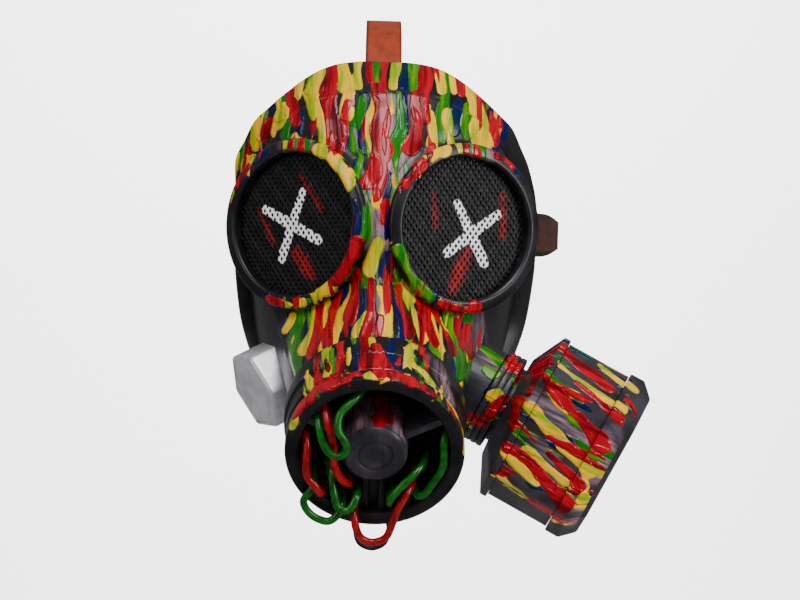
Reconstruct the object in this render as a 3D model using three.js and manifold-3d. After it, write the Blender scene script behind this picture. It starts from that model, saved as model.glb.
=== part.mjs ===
// Gas mask style costume mask: a moulded face shell with two netted eye rims, a round snout
// full of loose wires, a cheek cap, a filter canister on a ribbed neck and a leather head strap.
// Millimetres, +Z up, the face looks along -Y, the origin is the middle of the head at eye height.

import * as THREE from 'three';
import { mergeVertices } from 'three/addons/utils/BufferGeometryUtils.js';
import Module from 'manifold-3d';

const wasm = await Module();
wasm.setup();

// Clearance between neighbours
const gap = 0.3;

// Face shell
const shellWall = 2.6;
const faceHalfWidth = 90;
const faceDepth = 100;
const browHeight = 95.5;
const chinDrop = 135;
const rearShift = 5;
const bandStep = 5;
const bandRamp = 6.5;
const blendRadius = 12;

// Eye rims, nets and lenses
const eyeSpacing = 98.5;
const eyeForward = 88;
const eyeYaw = 30.5;
const eyeTwist = 4;
const rimRadius = 48.3;
const rimOpening = 40.5;
const rimFlange = 4.5;
const rimTubeRadius = 45;
const rimTubeLength = 14;
const netRecess = 5;
const netThickness = 1;
const netPitch = 14;
const netHole = 8.6;
const lensThickness = 1.5;

// Snout
const snoutPitch = 32;
const snoutForward = 152;
const snoutDrop = 124;
const collarLength = 36;
const collarRadius = 50;
const collarWall = 3.4;
const lipRadius = 48.3;
const mouthRadius = 40.5;
const lipThickness = 3;
const backingDepth = 30;
const backingThickness = 2;
const hubRadius = 17.5;
const hubRise = 2;
const armThickness = 4;
const postWidth = 12;
const armDepth = 22;
const wireRadius = 2.2;

// Chin loop
const loopWidth = 17;
const loopDrop = 13;
const loopWire = 1.3;

// Cheek cap
const capRadius = 25;
const capDepth = 14;
const cheekSide = 58.5;
const cheekBack = 56;
const cheekDrop = 91;

// Canister and its neck
const canisterRadius = 50.6;
const canisterBody = 38.4;
const cornerShift = 7.5;
const lidLength = 9;
const lidOverhang = 2.2;
const lidChamfer = 8;
const nearSlopeLength = 10;
const nearSlopeInset = 21;
const nearRimLength = 4;
const neckReach = 21.5;
const neckRadius = 28.5;
const ribCount = 3;
const ribLength = 3.6;
const ribGroove = 0.9;
const bossRadius = 26;
const bossLength = 8;
const bossSink = 4;
const connectorRadius = 23;

// Straps
const strapWidth = 21;
const strapThickness = 2;
const crownHeight = 126;
const headBack = 102;
const tongueReach = 17;
const tongueWidth = 26;

// Colours and finishes of the materials
const finish = {
  shell: { color: 0x2f2d33, roughness: 0.4, metalness: 0 },
  net: { color: 0x131216, roughness: 0.8, metalness: 0 },
  lens: { color: 0x0a0a0c, roughness: 0.25, metalness: 0 },
  silver: { color: 0xb9b9be, roughness: 0.4, metalness: 0.3 },
  paint: { color: 0xe8d21c, roughness: 0.3, metalness: 0 },
  red: { color: 0xd3121a, roughness: 0.25, metalness: 0 },
  green: { color: 0x2f8a2b, roughness: 0.25, metalness: 0 },
  leather: { color: 0xb8593a, roughness: 0.7, metalness: 0 },
};

const degrees = THREE.MathUtils.degToRad;
const up = new THREE.Vector3(0, 0, 1);

// Plan sections of the face from the chin to the brow. Height is a share of browHeight above
// the eyes and of chinDrop below them, width of faceHalfWidth and depth of faceDepth.
const faceSections = [
  { height: -1.0, width: 0.53, depth: 0.70, power: 2.2 },
  { height: -0.78, width: 0.70, depth: 0.80, power: 2.3 },
  { height: -0.56, width: 0.81, depth: 0.88, power: 2.3 },
  { height: -0.30, width: 0.88, depth: 0.93, power: 2.2 },
  { height: 0.0, width: 0.92, depth: 0.97, power: 2.1 },
  { height: 0.32, width: 0.91, depth: 0.96, power: 2.2 },
  { height: 0.62, width: 0.86, depth: 0.90, power: 2.3 },
  { height: 0.82, width: 0.77, depth: 0.83, power: 2.4 },
  { height: 1.0, width: 0.65, depth: 0.74, power: 2.4 },
];

// Rear outline of the shell from the brow's middle down one side to the chin, in shares of the
// same sizes, with the width of the flange band behind its step in millimetres.
const rearOutline = [
  { side: 0.0, height: 1.0, back: 0.60, band: 24 },
  { side: 0.16, height: 1.0, back: 0.60, band: 24 },
  { side: 0.33, height: 0.975, back: 0.585, band: 23 },
  { side: 0.48, height: 0.911, back: 0.56, band: 21 },
  { side: 0.63, height: 0.812, back: 0.495, band: 18 },
  { side: 0.745, height: 0.72, back: 0.455, band: 16 },
  { side: 0.84, height: 0.634, back: 0.42, band: 13 },
  { side: 0.905, height: 0.518, back: 0.36, band: 11 },
  { side: 0.965, height: 0.40, back: 0.30, band: 10 },
  { side: 0.995, height: 0.20, back: 0.20, band: 9 },
  { side: 1.0, height: 0.0, back: 0.13, band: 8 },
  { side: 1.0, height: -0.15, back: 0.12, band: 8 },
  { side: 0.96, height: -0.355, back: 0.15, band: 8 },
  { side: 0.91, height: -0.48, back: 0.19, band: 8 },
  { side: 0.82, height: -0.62, back: 0.27, band: 7 },
  { side: 0.68, height: -0.76, back: 0.38, band: 6 },
  { side: 0.48, height: -0.88, back: 0.49, band: 5 },
  { side: 0.25, height: -0.96, back: 0.57, band: 5 },
  { side: 0.0, height: -0.985, back: 0.60, band: 5 },
];

// Height in millimetres for a share of the face above or below the eyes
function heightOf(share) {
  return share > 0 ? share * browHeight : share * chinDrop;
}

// A Catmull-Rom value from a list of rows at equally named keys
function rowValue(rows, key, place, at) {
  const last = rows.length - 1;
  let index = 0;
  while (index < last - 1 && place(rows[index + 1]) < at) index += 1;
  const start = place(rows[index]);
  const share = THREE.MathUtils.clamp((at - start) / (place(rows[index + 1]) - start), 0, 1);
  const before = rows[Math.max(index - 1, 0)][key];
  const after = rows[Math.min(index + 2, last)][key];
  const from = rows[index][key];
  const to = rows[index + 1][key];
  const pull = (to - before) / 2;
  const push = (after - from) / 2;
  const cube = share * share * share;
  const square = share * share;
  return (2 * cube - 3 * square + 1) * from + (cube - 2 * square + share) * pull
    + (3 * square - 2 * cube) * to + (cube - square) * push;
}

// Local frames: the matrix takes local +Z to the axis and keeps local +Y as near up as it can
function frameAt(origin, axis) {
  const forward = axis.clone().normalize();
  const side = new THREE.Vector3().crossVectors(up, forward).normalize();
  const rise = new THREE.Vector3().crossVectors(forward, side);
  return new THREE.Matrix4().makeBasis(side, rise, forward).setPosition(origin);
}

function groupAt(frame) {
  const group = new THREE.Group();
  frame.decompose(group.position, group.quaternion, group.scale);
  return group;
}

const snoutAxis = new THREE.Vector3(0, -Math.cos(degrees(snoutPitch)), -Math.sin(degrees(snoutPitch)));
const snoutFront = new THREE.Vector3(0, -snoutForward, -snoutDrop);
const snoutBase = snoutFront.clone().addScaledVector(snoutAxis, -collarLength);
const snoutFrame = frameAt(snoutFront, snoutAxis);
const snoutRise = new THREE.Vector3().setFromMatrixColumn(snoutFrame, 1);

function eyeAxis(side) {
  const yaw = degrees(eyeYaw - side * eyeTwist);
  return new THREE.Vector3(side * Math.sin(yaw), -Math.cos(yaw), 0);
}

function eyeCentre(side) {
  return new THREE.Vector3(side * eyeSpacing / 2, -eyeForward, 0);
}

const neckAxis = new THREE.Vector3(0.886, -0.12, -0.461).normalize();
const neckFrame = frameAt(new THREE.Vector3(cheekSide, -cheekBack, -cheekDrop), neckAxis);
const capAxis = new THREE.Vector3(-0.81, -0.42, -0.41).normalize();
const capFrame = frameAt(new THREE.Vector3(-cheekSide, -cheekBack, -cheekDrop), capAxis);

// The face as a field: about the distance in front of the surface, below zero inside it
const muzzleFlare = 0.14;
const bridgeNodes = [
  { forward: 0.80, height: 0.60, radius: 8 },
  { forward: 0.98, height: 0.06, radius: 12 },
  { forward: 1.23, height: -0.44, radius: 18 },
];
const mouthTube = collarRadius - collarWall - gap;

function softUnion(first, second, radius) {
  const overlap = Math.max(radius - Math.abs(first - second), 0) / radius;
  return Math.min(first, second) - overlap * overlap * radius / 4;
}

// The face lies a little turned on the head, so what is further back is moved to the right
function shiftAt(y) {
  return rearShift * (1 + y / faceDepth);
}

function bodyField(point) {
  const across = point.x - shiftAt(point.y);
  const share = point.z > 0 ? point.z / browHeight : point.z / chinDrop;
  const place = (row) => row.height;
  const width = rowValue(faceSections, 'width', place, share) * faceHalfWidth;
  const depth = rowValue(faceSections, 'depth', place, share) * faceDepth;
  const power = rowValue(faceSections, 'power', place, share);
  const ratio = (Math.abs(across / width) ** power + Math.abs(point.y / depth) ** power) ** (1 / power);
  return Math.hypot(across, point.y) * (1 - 1 / ratio);
}

function muzzleField(point) {
  const offset = point.clone().sub(snoutBase);
  const along = offset.dot(snoutAxis);
  const rise = offset.dot(snoutRise);
  const setback = Math.max(-along, 0);
  return Math.hypot(point.x, rise) - mouthTube - muzzleFlare * setback;
}

function bridgePoint(node) {
  return new THREE.Vector3(0, -node.forward * faceDepth, heightOf(node.height));
}

function bridgeField(point) {
  let distance = Infinity;
  for (let index = 1; index < bridgeNodes.length; index += 1) {
    const line = new THREE.Line3(bridgePoint(bridgeNodes[index - 1]), bridgePoint(bridgeNodes[index]));
    const share = line.closestPointToPointParameter(point, true);
    const nearest = line.at(share, new THREE.Vector3());
    const radius = THREE.MathUtils.lerp(bridgeNodes[index - 1].radius, bridgeNodes[index].radius, share);
    distance = Math.min(distance, point.distanceTo(nearest) - radius);
  }
  return distance;
}

// Place of a point beside an eye: how far forward of the rim's plane, and out from its axis
function eyePlace(point) {
  const side = Math.sign(point.x) || 1;
  const offset = point.clone().sub(eyeCentre(side));
  const along = offset.dot(eyeAxis(side));
  return { along, radial: Math.sqrt(Math.max(offset.lengthSq() - along * along, 0)) };
}

// A pod fills the face up to the back of each rim's flange
function podField(point) {
  const { along, radial } = eyePlace(point);
  return softUnion(-(along + rimFlange + gap), -(radial - rimRadius + 2), 6) * -1;
}

// A widening hollow keeps the face clear in front of each rim
const hollowFlare = 0.75;

function hollowField(point) {
  const { along, radial } = eyePlace(point);
  const forward = along + rimFlange + 1;
  return Math.min(forward, rimRadius + 1 + hollowFlare * forward - radial);
}

function faceField(point) {
  const face = softUnion(bodyField(point), muzzleField(point), 1.5 * blendRadius);
  const bridged = softUnion(face, bridgeField(point), blendRadius);
  const hollowed = -softUnion(-bridged, -hollowField(point), 0.8 * blendRadius);
  return softUnion(hollowed, podField(point), 0.6 * blendRadius);
}

// The shell is laid out as rays from a point in the head: columns run round from the mouth's
// circle to the rear outline, and each ray ends where the field has the wanted depth.
const rayCentre = new THREE.Vector3(0, 0.3 * faceDepth, -0.08 * chinDrop);

function pointOnRay(direction, inset) {
  let near = 10;
  let far = 260;
  const point = new THREE.Vector3();
  for (let step = 0; step < 24; step += 1) {
    const middle = (near + far) / 2;
    point.copy(rayCentre).addScaledVector(direction, middle);
    if (faceField(point) + inset < 0) near = middle;
    else far = middle;
  }
  return point;
}

function outlinePoint(row, side) {
  const y = -row.back * faceDepth;
  const shift = row.height > 0.35 ? 0.35 * shiftAt(y) : shiftAt(y);
  return new THREE.Vector3(side * row.side * faceHalfWidth + shift, y, heightOf(row.height));
}

const outlineRows = [
  ...rearOutline.map((row) => ({ point: outlinePoint(row, 1), band: row.band })),
  ...rearOutline.slice(1, -1).reverse().map((row) => ({ point: outlinePoint(row, -1), band: row.band })),
];
const outlineCurve = new THREE.CatmullRomCurve3(outlineRows.map((row) => row.point), true);
const bandCurve = new THREE.CatmullRomCurve3(outlineRows.map((row) => new THREE.Vector3(row.band, 0, 0)), true);

function slerp(from, to, share) {
  const angle = from.angleTo(to);
  const first = Math.sin((1 - share) * angle) / Math.sin(angle);
  const second = Math.sin(share * angle) / Math.sin(angle);
  return from.clone().multiplyScalar(first).addScaledVector(to, second);
}

const shellColumns = 42;
const mainRows = 11;

// Points down one column from the mouth to the rear edge, at a depth below the surface
function columnPoints(turn, depth) {
  const angle = turn * 2 * Math.PI;
  const mouth = snoutBase.clone()
    .addScaledVector(new THREE.Vector3(1, 0, 0), mouthTube * Math.sin(angle))
    .addScaledVector(snoutRise, mouthTube * Math.cos(angle));
  const start = mouth.sub(rayCentre).normalize();
  const share = outlineCurve.getUtoTmapping(turn);
  const edge = outlineCurve.getPoint(share);
  const end = edge.clone().sub(rayCentre);
  const length = end.length() * start.angleTo(end);
  end.normalize();
  const band = bandCurve.getPoint(share).x;
  const ledge = 1 - (band + bandRamp) / length;
  const points = [];
  for (let row = 0; row <= mainRows; row += 1) {
    points.push(pointOnRay(slerp(start, end, ledge * row / mainRows), depth));
  }
  const foot = pointOnRay(slerp(start, end, 1 - band / length), Math.min(bandStep, 0.12 * length) + depth);
  edge.addScaledVector(end, -depth);
  points.push(foot, foot.clone().lerp(edge, 0.5), edge);
  return points;
}

// A closed sheet on the face between two depths, one above and one below the surface
function faceSheet(above, below) {
  const rows = mainRows + 4;
  const positions = [];
  for (const depth of [-above, below]) {
    for (let column = 0; column < shellColumns; column += 1) {
      for (const point of columnPoints(column / shellColumns, depth)) positions.push(...point.toArray());
    }
  }
  const layer = shellColumns * rows;
  const vertex = (level, column, row) => level * layer + (column % shellColumns) * rows + row;
  const faces = [];
  const quad = (a, b, c, d) => faces.push(a, d, c, a, c, b);
  for (let column = 0; column < shellColumns; column += 1) {
    const next = column + 1;
    for (let row = 0; row < rows - 1; row += 1) {
      quad(vertex(0, column, row), vertex(0, column, row + 1), vertex(0, next, row + 1), vertex(0, next, row));
      quad(vertex(1, column, row), vertex(1, next, row), vertex(1, next, row + 1), vertex(1, column, row + 1));
    }
    quad(vertex(0, column, 0), vertex(0, next, 0), vertex(1, next, 0), vertex(1, column, 0));
    const edge = rows - 1;
    quad(vertex(0, next, edge), vertex(0, column, edge), vertex(1, column, edge), vertex(1, next, edge));
  }
  return wasmSolid(positions, faces);
}

// Solids and meshes
function wasmSolid(positions, faces) {
  return new wasm.Manifold(new wasm.Mesh({
    numProp: 3,
    vertProperties: Float32Array.from(positions),
    triVerts: Uint32Array.from(faces),
  }));
}

function solidOf(geometry) {
  const bare = geometry.clone();
  bare.deleteAttribute('normal');
  bare.deleteAttribute('uv');
  const merged = mergeVertices(bare, 1e-4);
  return wasmSolid(merged.attributes.position.array, merged.index.array);
}

function geometryOf(solid) {
  const mesh = solid.getMesh();
  const geometry = new THREE.BufferGeometry();
  geometry.setAttribute('position', new THREE.BufferAttribute(mesh.vertProperties, 3));
  geometry.setIndex(new THREE.BufferAttribute(mesh.triVerts, 1));
  geometry.computeVertexNormals();
  return geometry;
}

function mainPiece(solid) {
  return solid.decompose().reduce((best, piece) => (piece.volume() > best.volume() ? piece : best));
}

function meshOf(name, geometry, look) {
  const mesh = new THREE.Mesh(geometry, new THREE.MeshStandardMaterial(look));
  mesh.name = name;
  return mesh;
}

function placed(geometry, frame) {
  return geometry.clone().applyMatrix4(frame);
}

// A turned body about local +Z from radius and height pairs, walked anticlockwise when closed
function turned(profile, segments) {
  const points = profile.map(([radius, height]) => new THREE.Vector2(radius, height));
  return new THREE.LatheGeometry(points, segments).rotateX(Math.PI / 2);
}

function disc(radius, low, high, segments) {
  return turned([[0, low], [radius, low], [radius, high], [0, high]], segments);
}

function blockFrom(width, length, depth, centre) {
  return new THREE.BoxGeometry(width, length, depth).translate(...centre);
}

function tubeAlong(points, radius, sides, steps) {
  const section = new THREE.Shape(
    Array.from({ length: sides }, (_, corner) => {
      const angle = corner / sides * 2 * Math.PI;
      return new THREE.Vector2(radius * Math.cos(angle), radius * Math.sin(angle));
    }),
  );
  const path = new THREE.CatmullRomCurve3(points.map((point) => new THREE.Vector3(...point)));
  return new THREE.ExtrudeGeometry(section, { extrudePath: path, steps, curveSegments: 1 });
}

const part = new THREE.Group();

// Eye rims: a flat annulus with a raised inner lip, on a tube that goes through the shell
const rimSegments = 34;
const lipRise = 1;

function rimGeometry() {
  return turned([
    [rimOpening + 1.5, -rimTubeLength],
    [rimTubeRadius, -rimTubeLength],
    [rimTubeRadius, -rimFlange],
    [rimRadius, -rimFlange],
    [rimRadius, -1.2],
    [rimRadius - 1.2, 0],
    [rimOpening + 1, lipRise],
    [rimOpening, lipRise - 1],
    [rimOpening, -netRecess],
    [rimOpening + 1.5, -netRecess],
    [rimOpening + 1.5, -rimTubeLength],
  ], rimSegments);
}

function rimCutter() {
  const profile = [
    [0, -60],
    [rimTubeRadius + gap, -60],
    [rimTubeRadius + gap, -rimFlange - gap],
    [rimRadius + gap, -rimFlange - gap],
    [rimRadius + gap, 30],
    [0, 30],
  ];
  return turned(profile, rimSegments);
}

// A net disc pierced by staggered rows of four-sided holes
function netGeometry() {
  const radius = rimOpening + 1.5 - gap;
  const outline = new THREE.Shape();
  outline.absarc(0, 0, radius, 0, 2 * Math.PI, false);
  const rowStep = netPitch * 0.866;
  const reach = Math.ceil(radius / rowStep);
  for (let row = -reach; row <= reach; row += 1) {
    for (let column = -reach; column <= reach; column += 1) {
      const x = (column + (row % 2 === 0 ? 0 : 0.5)) * netPitch;
      const y = row * rowStep;
      if (Math.hypot(x, y) + netHole / 2 < radius - 2) {
        const hole = new THREE.Path();
        for (let corner = 0; corner < 4; corner += 1) {
          const angle = corner / 4 * 2 * Math.PI;
          const point = [x + netHole / 2 * Math.cos(angle), y + netHole / 2 * Math.sin(angle)];
          if (corner === 0) hole.moveTo(...point);
          else hole.lineTo(...point);
        }
        hole.closePath();
        outline.holes.push(hole);
      }
    }
  }
  const net = new THREE.ExtrudeGeometry(outline, { depth: netThickness, bevelEnabled: false, curveSegments: 20 });
  return net.translate(0, 0, -netRecess - gap - netThickness);
}

function lensGeometry() {
  const front = -netRecess - 2 * gap - netThickness;
  return disc(rimOpening + 1.5 - gap, front - lensThickness, front, 24);
}

for (const [side, label] of [[-1, 'left'], [1, 'right']]) {
  const eye = groupAt(frameAt(eyeCentre(side), eyeAxis(side)));
  eye.add(meshOf(`eye_rim_${label}`, rimGeometry(), finish.shell));
  eye.add(meshOf(`eye_net_${label}`, netGeometry(), finish.net));
  eye.add(meshOf(`eye_lens_${label}`, lensGeometry(), finish.lens));
  part.add(eye);
}

// Snout collar: stepped bands outside, a stop for the backing inside and a lip round the mouth
const snoutSegments = 38;
const collarBore = lipRadius - 4.3;
const backingFront = -backingDepth;
const stopRadius = collarBore - 2.5;

function collarProfile(clearance) {
  const outer = [
    [collarRadius, -collarLength - 3],
    [collarRadius - 0.4, -collarLength + 10.5],
    [collarRadius - 1.6, -collarLength + 12],
    [collarRadius - 2, -collarLength + 23],
    [collarRadius - 3.4, -collarLength + 24.5],
    [lipRadius, -collarLength + 27],
    [lipRadius, -1],
    [lipRadius - 1, 0],
  ];
  return outer.map(([radius, height]) => [radius + clearance, height]);
}

function collarGeometry() {
  return turned([
    [collarRadius - collarWall, -collarLength - 3],
    ...collarProfile(0),
    [mouthRadius + 2, 0],
    [mouthRadius, -1],
    [mouthRadius, -1 - lipThickness],
    [collarBore, -1 - lipThickness],
    [collarBore, backingFront - backingThickness - gap],
    [stopRadius, backingFront - backingThickness - gap],
    [stopRadius, backingFront - backingThickness - 2],
    [collarRadius - collarWall, -collarLength + 1],
    [collarRadius - collarWall, -collarLength - 3],
  ], snoutSegments);
}

const snout = groupAt(snoutFrame);
snout.add(meshOf('snout_collar', collarGeometry(), finish.shell));
snout.add(meshOf(
  'snout_backing',
  disc(collarBore - gap, backingFront - backingThickness, backingFront, snoutSegments),
  finish.lens,
));

// Grille in the mouth: a drum with a ringed hub in front and three arms out to the bore
const armReach = collarBore - gap;
const armAngles = [28, 154];

function armGeometry(angle) {
  const inner = hubRadius - 3;
  const arm = blockFrom(armReach - inner, armThickness, armDepth, [(armReach + inner) / 2, 0, -4.5 - armDepth / 2]);
  return arm.rotateZ(degrees(angle));
}

function grilleSolid() {
  const drum = turned([
    [0, backingFront + gap],
    [hubRadius + 1.5, backingFront + gap],
    [hubRadius + 1.5, backingFront + 3],
    [hubRadius, hubRise - 2],
    [hubRadius - 2, hubRise],
    [9.2, hubRise],
    [8.6, hubRise - 0.7],
    [7.8, hubRise],
    [0, hubRise + 0.6],
  ], 32);
  let grille = solidOf(drum);
  for (const angle of armAngles) grille = grille.add(solidOf(armGeometry(angle)));
  const postLength = armReach - hubRadius + 3;
  const postMiddle = -(armReach + hubRadius - 3) / 2;
  const post = blockFrom(postWidth, postLength, armDepth, [0, postMiddle, -4.5 - armDepth / 2]);
  const channel = blockFrom(postWidth - 5, postLength, 6, [0, postMiddle - 5, -4.5]);
  return grille.add(solidOf(post).subtract(solidOf(channel)));
}

const boreEnvelope = solidOf(disc(armReach, -80, 40, snoutSegments));
const grille = mainPiece(grilleSolid().intersect(boreEnvelope));
snout.add(meshOf('snout_grille', geometryOf(grille), finish.shell));

// Wires in the mouth, each a route in the snout's own frame: across, up and forward of the lip.
// Both ends stand on the backing plate.
const wireFoot = backingFront + gap;
const wireRoutes = {
  green_wire_1: [
    [-7, 33, wireFoot], [-7, 33.5, -14], [-10, 33, -6], [-19, 27, 3], [-19.5, 20, 8.5], [-16.5, 16, 10.5],
    [-15, 9, 10], [-19, 5, 10], [-24, 6.5, 9.2], [-27.5, 10.5, 6], [-30, 17, 1], [-31, 20.5, -5],
    [-32, 21.5, -16], [-32, 21.5, wireFoot],
  ],
  red_wire_1: [
    [-29, 27, wireFoot], [-29.5, 27.5, -14], [-27.5, 25.5, -5], [-24.5, 19, 4], [-22, 6, 4], [-21.5, -6, 3],
    [-17.5, -15, 3], [-13.5, -21, -1], [-13, -23.5, -10], [-13, -23.5, wireFoot],
  ],
  red_wire_2: [
    [-39.5, 7, wireFoot], [-39.5, 7, -14], [-37, 5, -6.5], [-36.3, 0, -1], [-36.5, -7, 3.4], [-35, -14, 5],
    [-31, -18, 6.3], [-28.8, -22.5, 5.8], [-27.6, -24.5, 2.5], [-27, -26, -3], [-27, -27, -9], [-27.5, -27.5, wireFoot],
  ],
  green_wire_2: [
    [-26, -13, wireFoot], [-26, -13, -14], [-23.5, -15, -4], [-21.5, -23, 4], [-18.5, -31, 7.5],
    [-13.5, -32.5, 7.5], [-9, -27, 3], [-8.7, -27.5, -4], [-9, -28, wireFoot],
  ],
  green_wire_3: [
    [-34, -21, wireFoot], [-32.5, -19.8, -7], [-32, -20, -1], [-33.2, -22, 2.9], [-37.5, -29, 5.2], [-33, -37, 6.5],
    [-24, -41, 6.5], [-19, -37.5, 5], [-16.8, -33.5, 1], [-16.5, -33.5, -6], [-17, -34, wireFoot],
  ],
  red_wire_3: [
    [-10, -36.5, wireFoot], [-10, -36.5, -12], [-10, -36.5, 0], [-9.8, -39.5, 6], [-8.5, -45, 8], [-5.5, -51, 8],
    [0, -53.5, 8], [7, -50.5, 8], [10.5, -41, 8], [13, -32, 7], [17.5, -24, 4], [21, -21, -4], [22, -20.5, wireFoot],
  ],
  green_wire_4: [
    [29, -9, wireFoot], [28, -9, -12], [24, -10, -1], [15, -16.5, 6], [9.5, -23, 8], [8.8, -29.5, 4],
    [8.9, -31, -6], [9, -32, wireFoot],
  ],
  green_wire_5: [
    [38.5, 9, wireFoot], [38.5, 9, -12], [37, 7, -5], [36.8, -8, -1], [31.5, -20, -1], [27, -26, 0.5],
    [23.5, -27.5, -1], [22.5, -27, -10], [23, -27, wireFoot],
  ],
};
const wireSides = 6;
const wireSteps = 16;

for (const [name, route] of Object.entries(wireRoutes)) {
  const look = name.startsWith('red') ? finish.red : finish.green;
  snout.add(meshOf(name, tubeAlong(route, wireRadius, wireSides, wireSteps), look));
}

// Chin loop: a flat-ended wire bow under the lip, its ends seated on the collar
const loopRoot = -(lipRadius + loopWire + gap);
const loopRoute = [
  [-loopWidth / 2, loopRoot + 1.2, -6],
  [-loopWidth / 2 - 0.6, loopRoot - loopDrop * 0.35, -3],
  [-loopWidth / 2 + 1.5, loopRoot - loopDrop * 0.8, 0],
  [0, loopRoot - loopDrop, 1.5],
  [loopWidth / 2 - 1.5, loopRoot - loopDrop * 0.8, 0],
  [loopWidth / 2 + 0.6, loopRoot - loopDrop * 0.35, -3],
  [loopWidth / 2, loopRoot + 1.2, -6],
];
snout.add(meshOf('chin_loop', tubeAlong(loopRoute, loopWire, 6, 14), finish.shell));
part.add(snout);

// Face shell, cleared for the rims and the collar
const collarCutter = placed(turned([
  [collarRadius - collarWall - gap, -collarLength - 3 - gap],
  [collarRadius + 12, -collarLength - 3 - gap],
  [collarRadius + 12, 30],
  [0, 30],
  [0, -collarLength + 1 - gap],
  [collarRadius - collarWall - gap, -collarLength + 1 - gap],
  [collarRadius - collarWall - gap, -collarLength - 3 - gap],
], snoutSegments), snoutFrame);

function shellSolid() {
  let shell = faceSheet(0, shellWall);
  for (const side of [-1, 1]) {
    const frame = frameAt(eyeCentre(side), eyeAxis(side));
    shell = shell.subtract(solidOf(placed(rimCutter(), frame)));
  }
  return mainPiece(shell.subtract(solidOf(collarCutter)));
}

part.add(meshOf('mask_shell', geometryOf(shellSolid()), finish.shell));

// The cheek with clearance all round, which trims what is seated on it
const cheekCutter = faceSheet(gap, shellWall + 9);

function seatedOnCheek(name, geometry, frame, look) {
  const solid = mainPiece(solidOf(placed(geometry, frame)).subtract(cheekCutter));
  return meshOf(name, geometryOf(solid), look);
}

// Cheek cap: a six-sided drum with a bevelled face
function prism(radius, low, high, bevel) {
  const face = new THREE.CylinderGeometry(radius - bevel, radius, bevel, 6).translate(0, high - bevel / 2, 0);
  const wall = new THREE.CylinderGeometry(radius, radius, high - bevel - low, 6).translate(0, (high - bevel + low) / 2, 0);
  return solidOf(face.rotateX(Math.PI / 2)).add(solidOf(wall.rotateX(Math.PI / 2)));
}

const capTurn = degrees(30);

const capGeometry = geometryOf(prism(capRadius, -6, capDepth, 1.2)).rotateZ(capTurn);
part.add(seatedOnCheek('cheek_cap', capGeometry, capFrame, finish.silver));

// Canister neck: a boss from the cheek, three broad ribs and a narrower connector
function neckGeometry() {
  const wall = [
    [0, -bossSink],
    [bossRadius, -bossSink],
    [bossRadius, bossLength - 1],
    [bossRadius - 2, bossLength],
    [neckRadius - ribGroove, bossLength],
  ];
  let height = bossLength;
  for (let rib = 0; rib < ribCount; rib += 1) {
    wall.push([neckRadius, height + 0.4]);
    wall.push([neckRadius, height + ribLength - 0.4]);
    height += ribLength;
    wall.push([neckRadius - ribGroove, height]);
  }
  wall.push([connectorRadius, height]);
  wall.push([connectorRadius, neckReach - gap]);
  wall.push([0, neckReach - gap]);
  return turned(wall, 22);
}

part.add(seatedOnCheek('canister_neck', neckGeometry(), neckFrame, finish.shell));

// Canister: a six-sided body between a sloped near end and a deeper, chamfered far lid
const canister = groupAt(neckFrame);
const lidRadius = canisterRadius + lidOverhang;
const nearRim = neckReach + nearSlopeLength;
const bodyStart = nearRim + nearRimLength;
const farLid = bodyStart + canisterBody;
const hexTurn = 5;

// A six-sided block whose corners are moved by turns, so that every second side is wider
function sixSided(radiusLow, radiusHigh, low, high) {
  const geometry = new THREE.CylinderGeometry(radiusHigh, radiusLow, high - low, 6);
  geometry.translate(0, (low + high) / 2, 0).rotateX(Math.PI / 2);
  const position = geometry.attributes.position;
  for (let index = 0; index < position.count; index += 1) {
    const point = new THREE.Vector3().fromBufferAttribute(position, index);
    const corner = Math.round((Math.atan2(point.y, point.x) / Math.PI * 180 - 30) / 60);
    const turn = hexTurn + (corner % 2 === 0 ? -cornerShift : cornerShift);
    if (Math.hypot(point.x, point.y) > 1) point.applyAxisAngle(up, degrees(turn));
    position.setXYZ(index, ...point.toArray());
  }
  return geometry;
}

const nearEnd = solidOf(sixSided(lidRadius - nearSlopeInset, lidRadius, neckReach, nearRim))
  .add(solidOf(sixSided(lidRadius, lidRadius, nearRim, bodyStart)));
const lidSolid = solidOf(sixSided(lidRadius, lidRadius, farLid + gap, farLid + lidLength))
  .add(solidOf(sixSided(lidRadius, lidRadius - lidChamfer, farLid + lidLength, farLid + lidLength + lidChamfer)));
canister.add(meshOf('canister_rim', geometryOf(nearEnd), finish.shell));
canister.add(meshOf('canister_body', sixSided(canisterRadius, canisterRadius, bodyStart + gap, farLid), finish.paint));
canister.add(meshOf('canister_lid', geometryOf(lidSolid), finish.shell));
part.add(canister);

// Straps: flat bands swept along a route on their inner face, with their width along one axis
function bandAlong(points, across, width, thickness, steps) {
  const curve = new THREE.CatmullRomCurve3(points.map((point) => new THREE.Vector3(...point)));
  const positions = [];
  for (let step = 0; step <= steps; step += 1) {
    const share = step / steps;
    const centre = curve.getPointAt(share);
    const outward = new THREE.Vector3().crossVectors(curve.getTangentAt(share), across).normalize();
    for (const [side, lift] of [[-1, 0], [1, 0], [1, 1], [-1, 1]]) {
      const corner = centre.clone().addScaledVector(across, side * width / 2);
      positions.push(...corner.addScaledVector(outward, lift * thickness).toArray());
    }
  }
  const faces = [];
  const quad = (a, b, c, d) => faces.push(a, b, c, a, c, d);
  for (let step = 0; step < steps; step += 1) {
    const base = step * 4;
    for (let edge = 0; edge < 4; edge += 1) {
      const next = (edge + 1) % 4;
      quad(base + edge, base + next, base + 4 + next, base + 4 + edge);
    }
  }
  const end = steps * 4;
  quad(0, 3, 2, 1);
  quad(end, end + 1, end + 2, end + 3);
  return geometryOf(wasmSolid(positions, faces));
}

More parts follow.
